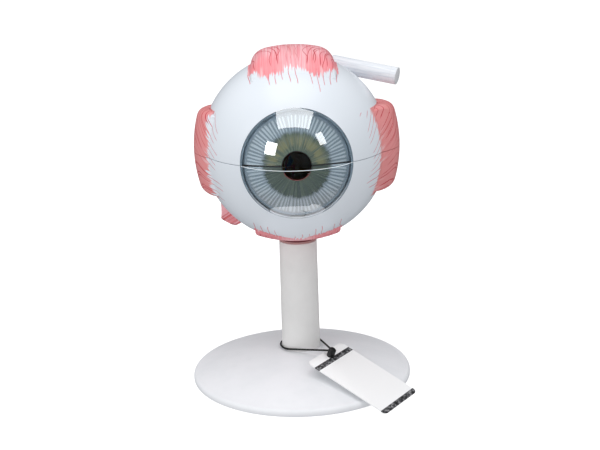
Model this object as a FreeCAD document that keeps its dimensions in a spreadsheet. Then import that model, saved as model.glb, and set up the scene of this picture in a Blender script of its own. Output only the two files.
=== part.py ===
"""Demountable eye anatomy model on a stand.

A globe of nested half shells opens along its horizontal equator.  The lower sclera half is
screwed to a hollow post on a round base.  Inside it rest, in the order they are lifted out,
the lower choroid half, the vitreous body, the lens, the upper choroid half and the upper
sclera half with its muscles.

Frame: millimetres, +Z up, origin at the centre of the base's underside, the cornea faces -Y
and the nasal side is +X.
"""
import FreeCAD, Part
import math
import os
import re

import Sketcher

V = FreeCAD.Vector

SIZES = [
    # globe
    ("globe_height", 149.2, "height of the globe's centre above the table"),
    ("globe_radius", 57.0, "outer radius of the sclera"),
    ("sclera_wall", 3.0, "wall of the sclera"),
    ("cornea_wall", 1.8, "wall of the cornea"),
    ("seam_gap", 0.3, "gap between the upper and the lower halves"),
    ("seat_gap", 0.1, "gap between a piece and the curved face that it is fixed to"),
    # inner shells
    ("shell_clearance", 0.5, "gap between one shell and the next one in"),
    ("choroid_wall", 2.0, "wall of the choroid"),
    ("iris_wall", 1.2, "wall of the iris"),
    ("iris_seat", 3.2, "width of the iris's seat on the choroid"),
    # ciliary ring
    ("ciliary_setback", 0.4, "gap between the ciliary ring and the iris's seat"),
    ("fold_count", 24, "folds on each half of the ciliary ring"),
    ("fold_width", 1.3, "width of the groove between two folds"),
    # lens
    ("lens_edge", 1.5, "thickness of the lens's edge"),
    ("lens_clearance", 0.5, "gap round the lens in its groove"),
    ("lens_lip", 0.7, "overhang of the groove's lips over the lens's edge"),
    # vitreous body
    ("vitreous_wall", 2.0, "wall of the hollow vitreous body"),
    # muscles
    ("muscle_corner", 5.0, "rounding of a muscle's long edges"),
    ("superior_corner", 9.0, "rounding of the superior rectus's long edges"),
    ("superior_thickness", 5.2, "thickness of the superior rectus on its midline"),
    ("inferior_thickness", 1.2, "thickness of the inferior rectus on its midline"),
    ("lateral_thickness", 5.0, "thickness of the lateral rectus on its midline"),
    ("medial_thickness", 7.4, "thickness of the medial rectus on its midline"),
    ("oblique_half_width", 7.0, "half the width of the inferior oblique"),
    ("oblique_thickness", 4.6, "thickness of the inferior oblique"),
    ("oblique_length", 24.0, "free length of the inferior oblique"),
    ("tendon_radius", 5.4, "radius of the superior oblique's tendon"),
    ("tendon_length", 43.0, "length of that tendon"),
    ("tendon_start", 5.0, "distance of that tendon's start from where it is nearest the globe"),
    # optic nerve
    ("nerve_angle", 15.0, "turn of the optic nerve to the nasal side, degrees"),
    ("nerve_radius", 9.0, "radius of the optic nerve's sheath"),
    ("nerve_flare", 1.8, "widening of the sheath at the globe"),
    ("nerve_sheath_length", 9.2, "length of the sheath outside the globe"),
    ("nerve_core_length", 11.8, "length of the nerve outside the globe"),
    ("nerve_core_radius", 6.2, "radius of the nerve inside its sheath"),
    # pegs
    ("peg_radius", 0.8, "radius of a locating peg"),
    ("peg_height", 3.0, "height of a peg above the seam"),
    ("peg_depth", 5.0, "depth of a peg in the lower half"),
    ("peg_clearance", 0.3, "gap round a peg in the upper half"),
    ("peg_angle", 55.0, "angle of a peg from the fore-and-aft line, degrees"),
    # stand
    ("base_radius", 69.6, "radius of the base"),
    ("base_edge", 4.6, "height of the base's rounded edge"),
    ("base_round", 2.6, "rounding of the base's upper edge"),
    ("base_foot_round", 1.2, "rounding of the base's lower edge"),
    ("base_dome_radius", 320.0, "radius of curvature of the base's top"),
    ("base_hub_height", 18.8, "height of the base where the post stands on it"),
    ("post_foot_radius", 12.2, "radius of the post at its foot"),
    ("post_top_radius", 11.8, "radius of the post at its top"),
    ("boss_drop", 2.25, "height of the boss between the post and the globe"),
    ("post_bore", 7.0, "radius of the post's bore"),
    ("post_web", 5.0, "thickness of the post's top"),
    ("spigot_radius", 9.5, "radius of the post's spigot"),
    ("spigot_depth", 8.0, "depth of the spigot in the base"),
    ("recess_radius", 9.5, "radius of the recess under the base"),
    ("recess_depth", 6.0, "depth of that recess"),
    ("boss_radius", 11.0, "radius of the boss under the lower sclera"),
    # fasteners
    ("screw_radius", 2.9, "radius of the long screw"),
    ("screw_clearance", 0.4, "gap round the screw in the base and the post"),
    ("screw_head_radius", 5.2, "radius of the screw's head"),
    ("screw_head_height", 3.4, "height of the screw's head"),
    ("screw_socket", 5.0, "width across the flats of the screw's socket"),
    ("screw_socket_depth", 2.0, "depth of that socket"),
    ("washer_radius", 8.0, "radius of the washer"),
    ("washer_thickness", 1.2, "thickness of the washer"),
    ("insert_radius", 4.4, "radius of the threaded insert"),
    ("insert_length", 4.2, "length of the threaded insert"),
    ("insert_collar", 1.7, "length of the insert's two collars"),
    ("insert_waist", 0.3, "depth of the waist between the collars"),
    # tag
    ("card_length", 59.0, "length of the hanging tag"),
    ("card_width", 39.0, "width of the hanging tag"),
    ("card_thickness", 0.6, "thickness of the hanging tag"),
    ("card_corner", 3.0, "rounding of the tag's corners"),
    ("card_hole_radius", 1.7, "radius of the tag's hole"),
    ("card_hole_inset", 4.5, "distance of the hole from the tag's end"),
    ("card_shift", 10.5, "shift of the tag's middle across its slope, to the temple side"),
    ("card_slope", 21.5, "slope of the tag over the base's edge, degrees"),
    ("card_azimuth", -35.0, "direction in which the tag slopes down, degrees"),
    ("lock_radius", 2.4, "radius of the lock of the tag's loop"),
    ("lock_height", 5.6, "height of the lock above the tag"),
    ("lock_taper", 0.8, "taper at the lock's top"),
    ("lock_flange", 0.7, "thickness of the lock's flange under the tag"),
    ("lock_pin_radius", 1.0, "radius of the lock's pin through the tag"),
    ("loop_radius", 0.6, "radius of the tag's loop of cord"),
]

# Lengths that grow with the globe, as shares of its radius.
SHARES = [
    ("limbus_radius", 0.5754, "outer radius of the cornea at its rim"),
    ("opening_radius", 0.5439, "radius of the front opening in the sclera"),
    ("cornea_radius", 0.693, "outer radius of curvature of the cornea"),
    ("iris_plane", 0.772, "distance in front of the centre where the choroid ends"),
    ("iris_dome_radius", 1.228, "radius of curvature of the iris's front"),
    ("pupil_radius", 0.1456, "radius of the pupil"),
    ("ciliary_rear", 0.5807, "distance in front of the centre of the ciliary ring's rear edge"),
    ("ciliary_crest", 0.6421, "distance in front of the centre of the ring's crest"),
    ("ciliary_crest_radius", 0.407, "radius of the ring's crest"),
    ("ciliary_slope_radius", 0.5526, "radius where the folds run out"),
    ("fold_depth", 0.0632, "depth of the groove below the crest"),
    ("lens_radius", 0.3947, "radius of the lens"),
    ("lens_plane", 0.7281, "distance of the lens's equator in front of the centre"),
    ("lens_front_bulge", 0.1184, "rise of the lens's front face"),
    ("lens_rear_bulge", 0.1535, "rise of the lens's rear face"),
    ("vitreous_front", 0.5526, "distance in front of the centre of the vitreous's front edge"),
    ("dish_radius", 0.3684, "radius of the dish in the vitreous's front"),
    ("dish_depth", 0.0526, "depth of that dish"),
    ("muscle_half_width", 0.4561, "half the width of a straight muscle at its insertion"),
    ("muscle_face_radius", 1.4035, "radius of curvature across a muscle's outer face"),
    ("tendon_distance", 1.0526, "distance of the tendon's axis from the globe's centre"),
]

doc = FreeCAD.newDocument("eye_model")
sheet = doc.addObject("Spreadsheet::Sheet", "Sizes")
CELLS = SIZES + [(name + "_share", share, note) for name, share, note in SHARES]
for row, (alias, value, note) in enumerate(CELLS, start=1):
    sheet.set("A%d" % row, alias)
    sheet.set("B%d" % row, str(value))
    sheet.set("C%d" % row, note)
    sheet.setAlias("B%d" % row, alias)
doc.recompute()
ALIASES = "|".join(alias for alias, value, note in CELLS)


def spelled_out(expression):
    """The expression with each length of SHARES written as its product."""
    for name, share, note in SHARES:
        expression = re.sub(r"\b%s\b" % name, "(globe_radius * %s_share)" % name, expression)
    return expression


def size(expression):
    """The value of an expression in the sheet's names."""
    return float(sheet.evalExpression(spelled_out(expression)))


def for_object(expression):
    """The same expression as an object outside the sheet reads it."""
    return re.sub(r"\b(%s)\b" % ALIASES, r"Sizes.\1", spelled_out(expression))


# Shared formulas, in the sheet's names.
INNER = "(globe_radius - sclera_wall)"
LIMBUS_PLANE = "sqrt(globe_radius ^ 2 - limbus_radius ^ 2)"
CORNEA_CENTRE = "(%s - sqrt(cornea_radius ^ 2 - limbus_radius ^ 2))" % LIMBUS_PLANE
CORNEA_INNER = "(cornea_radius - cornea_wall)"
CHOROID_OUTER = "(globe_radius - sclera_wall - shell_clearance)"
CHOROID_INNER = "(%s - choroid_wall)" % CHOROID_OUTER
IRIS_RADIUS = "sqrt(%s ^ 2 - iris_plane ^ 2)" % CHOROID_OUTER
IRIS_SEAT_RADIUS = "(%s - iris_seat)" % IRIS_RADIUS
IRIS_CENTRE = "(sqrt(iris_dome_radius ^ 2 - %s ^ 2) - iris_plane - iris_wall)" % IRIS_RADIUS
IRIS_BACK = "(iris_dome_radius - iris_wall)"
CILIARY_OUTER = "(%s - seat_gap)" % CHOROID_INNER
VITREOUS_OUTER = "(%s - shell_clearance)" % CHOROID_INNER
SEATED = "(globe_radius + seat_gap)"
BOSS_BOTTOM = "(globe_radius + boss_drop)"
POST_TOP = "(globe_height - seam_gap / 2 - globe_radius - boss_drop)"
CILIARY_FRONT = "(iris_plane - ciliary_setback)"
PEG_RING = "(globe_radius - sclera_wall / 2)"


def origin_plane(body, role):
    """One of the body's own origin planes."""
    return [item for item in body.Origin.OriginFeatures if item.Role == role][0]


def new_sketch(body, name, role):
    """An empty sketch on one of the body's origin planes."""
    sketch = body.newObject("Sketcher::SketchObject", name)
    sketch.AttachmentSupport = (origin_plane(body, role), [""])
    sketch.MapMode = "FlatFace"
    return sketch


def bind(sketch, constraint, expression):
    """Add a constraint with a size and tie it to the sheet."""
    index = sketch.addConstraint(constraint)
    sketch.setExpression("Constraints[%d]" % index, for_object(expression))


def place_point(sketch, geometry, end, place):
    """Fix a point of the sketch at two expressions."""
    for kind, axis, expression in (("DistanceX", -2, place[0]), ("DistanceY", -1, place[1])):
        if expression == "0":
            sketch.addConstraint(Sketcher.Constraint("PointOnObject", geometry, end, axis))
        else:
            value = size(expression)
            bind(sketch, Sketcher.Constraint(kind, -1, 1, geometry, end, value), expression)


def arc_between(start, end, centre):
    """The arc on the right of its centre, and whether it runs from start to end."""
    angles = [math.atan2(point.y - centre.y, point.x - centre.x) for point in (start, end)]
    circle = Part.Circle(centre, V(0, 0, 1), start.distanceToPoint(centre))
    return Part.ArcOfCircle(circle, min(angles), max(angles)), angles[0] < angles[1]


def draw_profile(sketch, corners, arcs):
    """Draw a closed profile.

    corners holds (x, y) expressions.  arcs maps the index of a side to "axis", for an arc
    centred on the vertical axis, or to a radius expression, for a bulge to the right.
    """
    points = [V(size(x), size(y), 0) for x, y in corners]
    ends = []
    for index, start in enumerate(points):
        end = points[(index + 1) % len(points)]
        kind = arcs.get(index)
        if kind is None:
            sketch.addGeometry(Part.LineSegment(start, end))
            ends.append((1, 2))
            continue
        middle = (start + end) / 2
        across = V(start.y - end.y, end.x - start.x, 0).normalize()
        if kind == "axis":
            centre = V(0, middle.y - across.y * middle.x / across.x, 0)
        else:
            half = start.distanceToPoint(end) / 2
            toward = -1 if across.x > 0 else 1
            centre = middle + across * toward * math.sqrt(size(kind) ** 2 - half ** 2)
        arc, forward = arc_between(start, end, centre)
        sketch.addGeometry(arc)
        ends.append((1, 2) if forward else (2, 1))
    for index, (first, last) in enumerate(ends):
        following = (index + 1) % len(ends)
        sketch.addConstraint(
            Sketcher.Constraint("Coincident", index, last, following, ends[following][0]))
        place_point(sketch, index, first, corners[index])
        kind = arcs.get(index)
        if kind == "axis":
            sketch.addConstraint(Sketcher.Constraint("PointOnObject", index, 3, -2))
        elif kind is not None:
            bind(sketch, Sketcher.Constraint("Radius", index, size(kind)), kind)


def new_body(label, height="0"):
    """A body whose origin is on the post's axis at the given height."""
    body = doc.addObject("PartDesign::Body", label)
    body.Label = label
    body.setExpression("Placement.Base.z", for_object(height))
    return body


def revolve(body, corners, arcs, role="XY_Plane", angle=360.0, upper=False, cut=False):
    """Turn a profile about its sketch's vertical axis, as added or removed material."""
    number = len(body.Group)
    sketch = new_sketch(body, "%s_profile_%d" % (body.Label, number), role)
    draw_profile(sketch, corners, arcs)
    kind = "PartDesign::Groove" if cut else "PartDesign::Revolution"
    feature = body.newObject(kind, "%s_turned_%d" % (body.Label, number))
    feature.Profile = sketch
    feature.ReferenceAxis = (sketch, ["V_Axis"])
    feature.Angle = angle
    feature.Reversed = upper
    doc.recompute()
    return feature


def half_height(upper):
    """Height of a half's own centre: half the seam's gap above or below the globe's."""
    return "globe_height + seam_gap / 2" if upper else "globe_height - seam_gap / 2"


def half_turned(label, corners, arcs, upper):
    """Half of a body of revolution about the eye's fore-and-aft axis."""
    body = new_body(label, half_height(upper))
    revolve(body, corners, arcs, angle=180.0, upper=upper)
    return body


def circle_pocket(body, name, centres, radius, depth, upward):
    """Blind round holes from the body's horizontal origin plane."""
    sketch = new_sketch(body, name + "_circles", "XY_Plane")
    for index, place in enumerate(centres):
        centre = V(size(place[0]), size(place[1]), 0)
        sketch.addGeometry(Part.Circle(centre, V(0, 0, 1), size(radius)))
        place_point(sketch, index, 3, place)
        bind(sketch, Sketcher.Constraint("Radius", index, size(radius)), radius)
    before = body.Shape.Volume
    pocket = body.newObject("PartDesign::Pocket", name)
    pocket.Profile = sketch
    pocket.setExpression("Length", for_object(depth))
    pocket.Reversed = upward
    doc.recompute()
    if body.Shape.Volume >= before:
        raise RuntimeError(name + " cuts nothing")


# ---- outer globe -------------------------------------------------------------------------

def sclera_profile():
    """Outer arc, flat front rim, opening, inner arc."""
    inner_plane = "-sqrt(%s ^ 2 - opening_radius ^ 2)" % INNER
    corners = [
        ("0", "globe_radius"),
        ("limbus_radius", "-" + LIMBUS_PLANE),
        ("opening_radius", "-" + LIMBUS_PLANE),
        ("opening_radius", inner_plane),
        ("0", INNER),
    ]
    return corners, {0: "axis", 3: "axis"}


def peg_places():
    """Two pegs each side, in the middle of the sclera's wall."""
    across = "%s * sin(peg_angle * 1deg)" % PEG_RING
    along = "%s * cos(peg_angle * 1deg)" % PEG_RING
    return [(sign_x + across, sign_y + along) for sign_x in ("", "-") for sign_y in ("", "-")]


def make_sclera(upper):
    """One half of the sclera with its peg holes."""
    name = "upper_sclera" if upper else "lower_sclera"
    body = half_turned(name, *sclera_profile(), upper)
    if upper:
        radius, depth = "peg_radius + peg_clearance", "peg_height + peg_clearance"
    else:
        radius, depth = "peg_radius + seat_gap / 2", "peg_depth"
    circle_pocket(body, name + "_peg_holes", peg_places(), radius, depth, upper)
    return body


def make_boss(body):
    """The boss under the lower sclera that stands on the post, with the insert's bore."""
    top = "-(globe_radius - sclera_wall / 2)"
    bottom = "-" + BOSS_BOTTOM
    revolve(body, [("0", bottom), ("boss_radius", bottom), ("boss_radius", top), ("0", top)],
            {}, role="XZ_Plane")
    bore = "insert_radius + seat_gap / 2"
    bore_top = "seat_gap + insert_length - %s" % BOSS_BOTTOM
    before = body.Shape.Volume
    revolve(body, [("0", bottom), (bore, bottom), (bore, bore_top), ("0", bore_top)],
            {}, role="XZ_Plane", cut=True)
    if body.Shape.Volume >= before:
        raise RuntimeError("the insert's bore cuts nothing")


def make_cornea(upper):
    """One half of the clear cornea, which stands on the sclera's flat rim."""
    rim = "-" + LIMBUS_PLANE
    inner_rim = "sqrt(%s ^ 2 - (%s - %s) ^ 2)" % (CORNEA_INNER, LIMBUS_PLANE, CORNEA_CENTRE)
    corners = [
        ("limbus_radius", rim),
        (inner_rim, rim),
        ("0", "-%s - %s" % (CORNEA_CENTRE, CORNEA_INNER)),
        ("0", "-%s - cornea_radius" % CORNEA_CENTRE),
    ]
    return half_turned("upper_cornea" if upper else "lower_cornea", corners,
                       {1: "axis", 3: "axis"}, upper)


# ---- inner globe -------------------------------------------------------------------------

def make_choroid(upper):
    """One half of the choroid shell, lined by the retina."""
    front = "-iris_plane"
    corners = [
        ("0", CHOROID_OUTER),
        ("sqrt(%s ^ 2 - iris_plane ^ 2)" % CHOROID_OUTER, front),
        ("sqrt(%s ^ 2 - iris_plane ^ 2)" % CHOROID_INNER, front),
        ("0", CHOROID_INNER),
    ]
    return half_turned("upper_choroid" if upper else "lower_choroid", corners,
                       {0: "axis", 2: "axis"}, upper)


def make_iris(upper):
    """One half of the domed iris, seated on the choroid's flat front."""
    front = "%s - sqrt(iris_dome_radius ^ 2 - pupil_radius ^ 2)" % IRIS_CENTRE
    back = "%s - sqrt(%s ^ 2 - %s ^ 2)"
    corners = [
        (IRIS_RADIUS, "-iris_plane"),
        (IRIS_SEAT_RADIUS, "-iris_plane"),
        (IRIS_SEAT_RADIUS, back % (IRIS_CENTRE, IRIS_BACK, IRIS_SEAT_RADIUS)),
        ("pupil_radius", back % (IRIS_CENTRE, IRIS_BACK, "pupil_radius")),
        ("pupil_radius", front),
        (IRIS_RADIUS, "-iris_plane - iris_wall"),
    ]
    return half_turned("upper_iris" if upper else "lower_iris", corners,
                       {2: "axis", 4: "axis"}, upper)


def make_ciliary_body(upper):
    """One half of the ciliary ring: a groove for the lens and a comb of radial folds."""
    name = "upper_ciliary_body" if upper else "lower_ciliary_body"
    groove = "lens_radius + lens_clearance"
    lip = "lens_radius - lens_lip"
    half_edge = "(lens_edge / 2 + lens_clearance / 2)"
    slant = "(lens_lip + lens_clearance)"
    rear_lip = "-lens_plane + %s + %s" % (half_edge, slant)
    corners = [
        ("sqrt(%s ^ 2 - %s ^ 2)" % (CILIARY_OUTER, CILIARY_FRONT), "-" + CILIARY_FRONT),
        (lip, "-" + CILIARY_FRONT),
        (lip, "-lens_plane - %s - %s / 2" % (half_edge, slant)),
        (groove, "-lens_plane - %s" % half_edge),
        (groove, "-lens_plane + %s" % half_edge),
        (lip, rear_lip),
        (lip, "-ciliary_crest - %s" % slant),
        ("ciliary_crest_radius", "-ciliary_crest"),
        ("ciliary_slope_radius", "-(ciliary_crest + ciliary_rear) / 2"),
        ("sqrt(%s ^ 2 - ciliary_rear ^ 2)" % CILIARY_OUTER, "-ciliary_rear"),
    ]
    body = half_turned(name, corners, {9: "axis"}, upper)
    sketch = new_sketch(body, name + "_fold_profile", "XY_Plane")
    behind = "-ciliary_rear + fold_width"
    inside = "lens_radius - lens_lip - fold_width"
    draw_profile(sketch, [
        (inside, "-ciliary_crest - fold_depth"),
        ("ciliary_slope_radius", "-(ciliary_crest + ciliary_rear) / 2"),
        ("ciliary_slope_radius", behind),
        (inside, behind),
    ], {})
    before = body.Shape.Volume
    groove_cut = body.newObject("PartDesign::Pocket", name + "_fold_groove")
    groove_cut.Profile = sketch
    groove_cut.SideType = "Symmetric"
    groove_cut.setExpression("Length", for_object("fold_width"))
    doc.recompute()
    if body.Shape.Volume >= before:
        raise RuntimeError(name + " has no first fold")
    folds = body.newObject("PartDesign::PolarPattern", name + "_folds")
    folds.Originals = [groove_cut]
    folds.Axis = (sketch, ["V_Axis"])
    folds.Angle = 180.0
    folds.Reversed = upper
    folds.setExpression("Occurrences", for_object("fold_count + 1"))
    body.Tip = folds
    doc.recompute()
    return body


def make_lens():
    """The clear lens, steeper behind than in front."""
    half_edge = "lens_edge / 2"
    corners = [
        ("0", "-lens_plane - %s - lens_front_bulge" % half_edge),
        ("lens_radius", "-lens_plane - %s" % half_edge),
        ("lens_radius", "-lens_plane + %s" % half_edge),
        ("0", "-lens_plane + %s + lens_rear_bulge" % half_edge),
    ]
    body = new_body("lens", "globe_height")
    revolve(body, corners, {0: "axis", 2: "axis"})
    return body


def make_vitreous():
    """The hollow clear vitreous body with the shallow dish behind the lens."""
    inner = "(%s - vitreous_wall)" % VITREOUS_OUTER
    front = "-vitreous_front"
    inner_front = "-vitreous_front + dish_depth + vitreous_wall"
    corners = [
        ("0", VITREOUS_OUTER),
        ("sqrt(%s ^ 2 - vitreous_front ^ 2)" % VITREOUS_OUTER, front),
        ("dish_radius", front),
        ("0", "-vitreous_front + dish_depth"),
        ("0", inner_front),
        ("sqrt(%s ^ 2 - (vitreous_front - dish_depth - vitreous_wall) ^ 2)" % inner, inner_front),
        ("0", inner),
    ]
    body = new_body("vitreous_body", "globe_height")
    revolve(body, corners, {0: "axis", 2: "axis", 5: "axis"})
    return body


# ---- muscles and nerve -------------------------------------------------------------------

def strap_section(centre, normal, across, half_width, thickness, share, rounding):
    """Cross-section of a muscle that stands on the globe.

    centre is on the sclera, normal points outwards and across runs over the width.  The outer
    face is an arc between two rounded edges.  It is as round as the globe where the share of
    the muscle's thickness is nothing, and as flat as the muscle's face where it is whole.
    """
    corner = min(size(rounding), half_width / 2, thickness * 2)
    globe = size("globe_radius")
    face = globe + (size("muscle_face_radius") - globe) * min(share, 1.0)
    sunk = size("sclera_wall") + half_width ** 2 / globe / 2 + thickness

    def at(x, y):
        return centre + across * x + normal * y

    def face_height(x):
        return thickness + math.sqrt(face ** 2 - x ** 2) - face

    flat = half_width - corner
    left = Part.BezierCurve()
    left.setPoles([at(-half_width, face_height(half_width) - corner),
                   at(-half_width, face_height(half_width)), at(-flat, face_height(flat))])
    right = Part.BezierCurve()
    right.setPoles([at(flat, face_height(flat)), at(half_width, face_height(half_width)),
                    at(half_width, face_height(half_width) - corner)])
    top = Part.Arc(at(-flat, face_height(flat)), at(0, thickness), at(flat, face_height(flat)))
    edges = [
        Part.makeLine(at(half_width, -sunk), at(-half_width, -sunk)),
        Part.makeLine(at(-half_width, -sunk), at(-half_width, face_height(half_width) - corner)),
        left.toShape(),
        top.toShape(),
        right.toShape(),
        Part.makeLine(at(half_width, face_height(half_width) - corner), at(half_width, -sunk)),
    ]
    return Part.Wire(edges)


# Stations along a straight muscle: angle from the front, share of the full width and
# share of the full thickness.  The thin inferior rectus has the finest front edge.
RECTUS_STATIONS = [(60.0, 0.94, 0.05), (68.0, 1.0, 0.5), (80.0, 1.0, 0.86), (101.0, 0.97, 1.0),
                   (121.0, 0.80, 1.08)]
INFERIOR_STATIONS = [(60.0, 0.94, 0.02)] + RECTUS_STATIONS[1:]
SIDE_STATIONS = [(65.0, 0.92, 0.05), (74.0, 1.0, 0.55), (84.0, 1.0, 0.9), (101.0, 0.97, 1.0),
                 (121.0, 0.80, 1.08)]


def globe_sphere(name, height):
    """The sphere that the muscles sit on."""
    sphere = doc.addObject("Part::Sphere", name)
    sphere.setExpression("Radius", for_object(SEATED))
    sphere.setExpression("Placement.Base.z", for_object(height))
    return sphere


def blank(name, shape, height, roll=0.0):
    """A computed solid at the globe's height, rolled about the fore-and-aft axis."""
    feature = doc.addObject("Part::Feature", name)
    feature.Shape = shape
    turn = FreeCAD.Rotation(V(0, 1, 0), roll)
    feature.Placement = FreeCAD.Placement(V(0, 0, size(height)), turn)
    return feature


def rectus_shape(thickness, stations, rounding):
    """A straight muscle over the top of the globe."""
    radius = size("globe_radius")
    sections = []
    for angle, width_share, thickness_share in stations:
        turn = math.radians(angle)
        normal = V(0, -math.cos(turn), math.sin(turn))
        sections.append(strap_section(normal * radius, normal, V(1, 0, 0),
                                      size("muscle_half_width") * width_share,
                                      size(thickness) * thickness_share, thickness_share,
                                      rounding))
    return Part.makeLoft(sections, True)


def cut_by_globe(label, base, height):
    """The base less the globe's sphere."""
    piece = doc.addObject("Part::Cut", label)
    piece.Label = label
    piece.Base = base
    piece.Tool = globe_sphere(label + "_seat", height)
    return piece


def make_superior_rectus():
    """The muscle on the top of the globe."""
    height = half_height(True)
    strap = rectus_shape("superior_thickness", RECTUS_STATIONS, "superior_corner")
    base = blank("superior_rectus_blank", strap, height)
    return cut_by_globe("superior_rectus", base, height)


def make_inferior_rectus():
    """The thin muscle under the globe, with a hole for the boss."""
    height = half_height(False)
    strap = rectus_shape("inferior_thickness", INFERIOR_STATIONS, "muscle_corner")
    base = blank("inferior_rectus_blank", strap, height, 180.0)
    hole = doc.addObject("Part::Cylinder", "inferior_rectus_hole")
    hole.setExpression("Radius", for_object("boss_radius + seat_gap"))
    hole.setExpression("Height", for_object("globe_height"))
    holed = doc.addObject("Part::Cut", "inferior_rectus_holed")
    holed.Base = base
    holed.Tool = hole
    return cut_by_globe("inferior_rectus", holed, height)


def make_side_rectus(name, thickness, roll):
    """A muscle on one side of the globe, split by the seam into two pieces."""
    pieces = []
    for upper in (True, False):
        label = "%s_%s" % (name, "upper" if upper else "lower")
        height = half_height(upper)
        strap = rectus_shape(thickness, SIDE_STATIONS, "muscle_corner")
        base = blank(label + "_blank", strap, height, roll)
        room = doc.addObject("Part::Box", label + "_side")
        for side in ("Length", "Width", "Height"):
            room.setExpression(side, for_object("globe_radius * 4"))
        room.setExpression("Placement.Base.x", for_object("-globe_radius * 2"))
        room.setExpression("Placement.Base.y", for_object("-globe_radius * 2"))
        lowest = height if upper else height + " - globe_radius * 4"
        room.setExpression("Placement.Base.z", for_object(lowest))
        half = doc.addObject("Part::Common", label + "_half")
        half.Base = base
        half.Tool = room
        pieces.append(cut_by_globe(label, half, height))
    return pieces


# The muscles that leave the globe at a tangent: the way from the globe's centre to where they
# leave it, and the way they run from there.
INFERIOR_OBLIQUE_FOOT = V(-0.722, 0.424, -0.547)
INFERIOR_OBLIQUE_RUN = V(-0.092, -0.78, -0.75)
SUPERIOR_OBLIQUE_FOOT = V(0.32, 0.58, 0.84)
SUPERIOR_OBLIQUE_RUN = V(0.909, -0.36, -0.16)

# Stations along the inferior oblique's insertion: angle before its foot and share of the full
# thickness.
OBLIQUE_STATIONS = [(-16.0, 0.6), (-8.0, 0.8), (0.0, 1.0)]


def make_inferior_oblique():
    """The short muscle behind the lower temple side."""
    radius = size("globe_radius")
    outward = V(INFERIOR_OBLIQUE_FOOT).normalize()
    lead = INFERIOR_OBLIQUE_RUN
    along = (lead - outward * lead.dot(outward)).normalize()
    across = along.cross(outward)
    half_width = size("oblique_half_width")
    thickness = size("oblique_thickness")
    sections = []
    for angle, share in OBLIQUE_STATIONS:
        turn = math.radians(angle)
        normal = outward * math.cos(turn) + along * math.sin(turn)
        sections.append(strap_section(normal * radius, normal, across, half_width,
                                      thickness * share, share, "muscle_corner"))
    for share in (0.5, 1.0):
        centre = outward * radius + along * size("oblique_length") * share
        sections.append(strap_section(centre, outward, across, half_width, thickness, 1.0,
                                      "muscle_corner"))
    height = half_height(False)
    base = blank("inferior_oblique_blank", Part.makeLoft(sections, True), height)
    return cut_by_globe("inferior_oblique", base, height)


def make_superior_oblique():
    """The round white tendon that runs off the upper nasal side."""
    along = V(SUPERIOR_OBLIQUE_RUN).normalize()
    foot = SUPERIOR_OBLIQUE_FOOT
    outward = (foot - along * foot.dot(along)).normalize()
    base = doc.addObject("Part::Cylinder", "superior_oblique_rod")
    base.setExpression("Radius", for_object("tendon_radius"))
    base.setExpression("Height", for_object("tendon_length"))
    start = outward * size("tendon_distance") + along * size("tendon_start")
    centre = V(0, 0, size(half_height(True)))
    base.Placement = FreeCAD.Placement(centre + start, FreeCAD.Rotation(V(0, 0, 1), along))
    return cut_by_globe("superior_oblique", base, half_height(True))


def make_optic_nerve(upper):
    """One half of the optic nerve: a flared sheath and the nerve standing out of it."""
    foot = "(nerve_radius + nerve_flare)"
    corners = [
        ("0", SEATED),
        (foot, "sqrt(%s ^ 2 - %s ^ 2)" % (SEATED, foot)),
        ("nerve_radius", "%s + nerve_flare" % SEATED),
        ("nerve_radius", "globe_radius + nerve_sheath_length"),
        ("nerve_core_radius", "globe_radius + nerve_sheath_length"),
        ("nerve_core_radius", "globe_radius + nerve_core_length"),
        ("0", "globe_radius + nerve_core_length"),
    ]
    label = "optic_nerve_upper" if upper else "optic_nerve_lower"
    body = half_turned(label, corners, {0: "axis"}, upper)
    body.setExpression("Placement.Rotation.Angle", for_object("-nerve_angle * 1deg"))
    return body


# ---- fasteners, stand and tag ------------------------------------------------------------

def make_pegs():
    """The locating pegs in the lower sclera's rim, one node of separate solids."""
    pegs = []
    for number, place in enumerate(peg_places(), start=1):
        peg = doc.addObject("Part::Cylinder", "peg_%d" % number)
        peg.setExpression("Radius", for_object("peg_radius"))
        peg.setExpression("Height", for_object("peg_height + peg_depth"))
        peg.setExpression("Placement.Base.x", for_object(place[0]))
        peg.setExpression("Placement.Base.y", for_object(place[1]))
        peg.setExpression("Placement.Base.z", for_object(half_height(False) + " - peg_depth"))
        pegs.append(peg)
    group = doc.addObject("Part::Compound", "locating_pegs")
    group.Label = "locating_pegs"
    group.Links = pegs
    return group


def make_base():
    """The round base: rounded edge, shallow domed top, socket for the post, screw recess."""
    body = new_body("stand_base")
    shoulder = "(base_radius - base_round)"
    socket_floor = "(base_hub_height - spigot_depth)"
    hole = "(screw_radius + screw_clearance)"
    corners = [
        ("recess_radius", "0"),
        ("base_radius - base_foot_round", "0"),
        ("base_radius", "base_foot_round"),
        ("base_radius", "base_edge - base_round"),
        (shoulder, "base_edge"),
        ("post_foot_radius", "base_hub_height"),
        ("spigot_radius + seat_gap", "base_hub_height"),
        ("spigot_radius + seat_gap", socket_floor),
        (hole, socket_floor),
        (hole, "recess_depth"),
        ("recess_radius", "recess_depth"),
    ]
    revolve(body, corners, {1: "base_foot_round", 3: "base_round", 4: "base_dome_radius"},
            role="XZ_Plane")
    return body


def make_post():
    """The hollow tapered post with its spigot below and a pierced top."""
    body = new_body("stand_post")
    hole = "(screw_radius + screw_clearance)"
    foot = "(base_hub_height - spigot_depth)"
    web = "(%s - post_web)" % POST_TOP
    corners = [
        ("post_bore", foot),
        ("spigot_radius", foot),
        ("spigot_radius", "base_hub_height"),
        ("post_foot_radius", "base_hub_height"),
        ("post_top_radius", POST_TOP),
        (hole, POST_TOP),
        (hole, web),
        ("post_bore", web),
    ]
    revolve(body, corners, {}, role="XZ_Plane")
    return body


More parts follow.
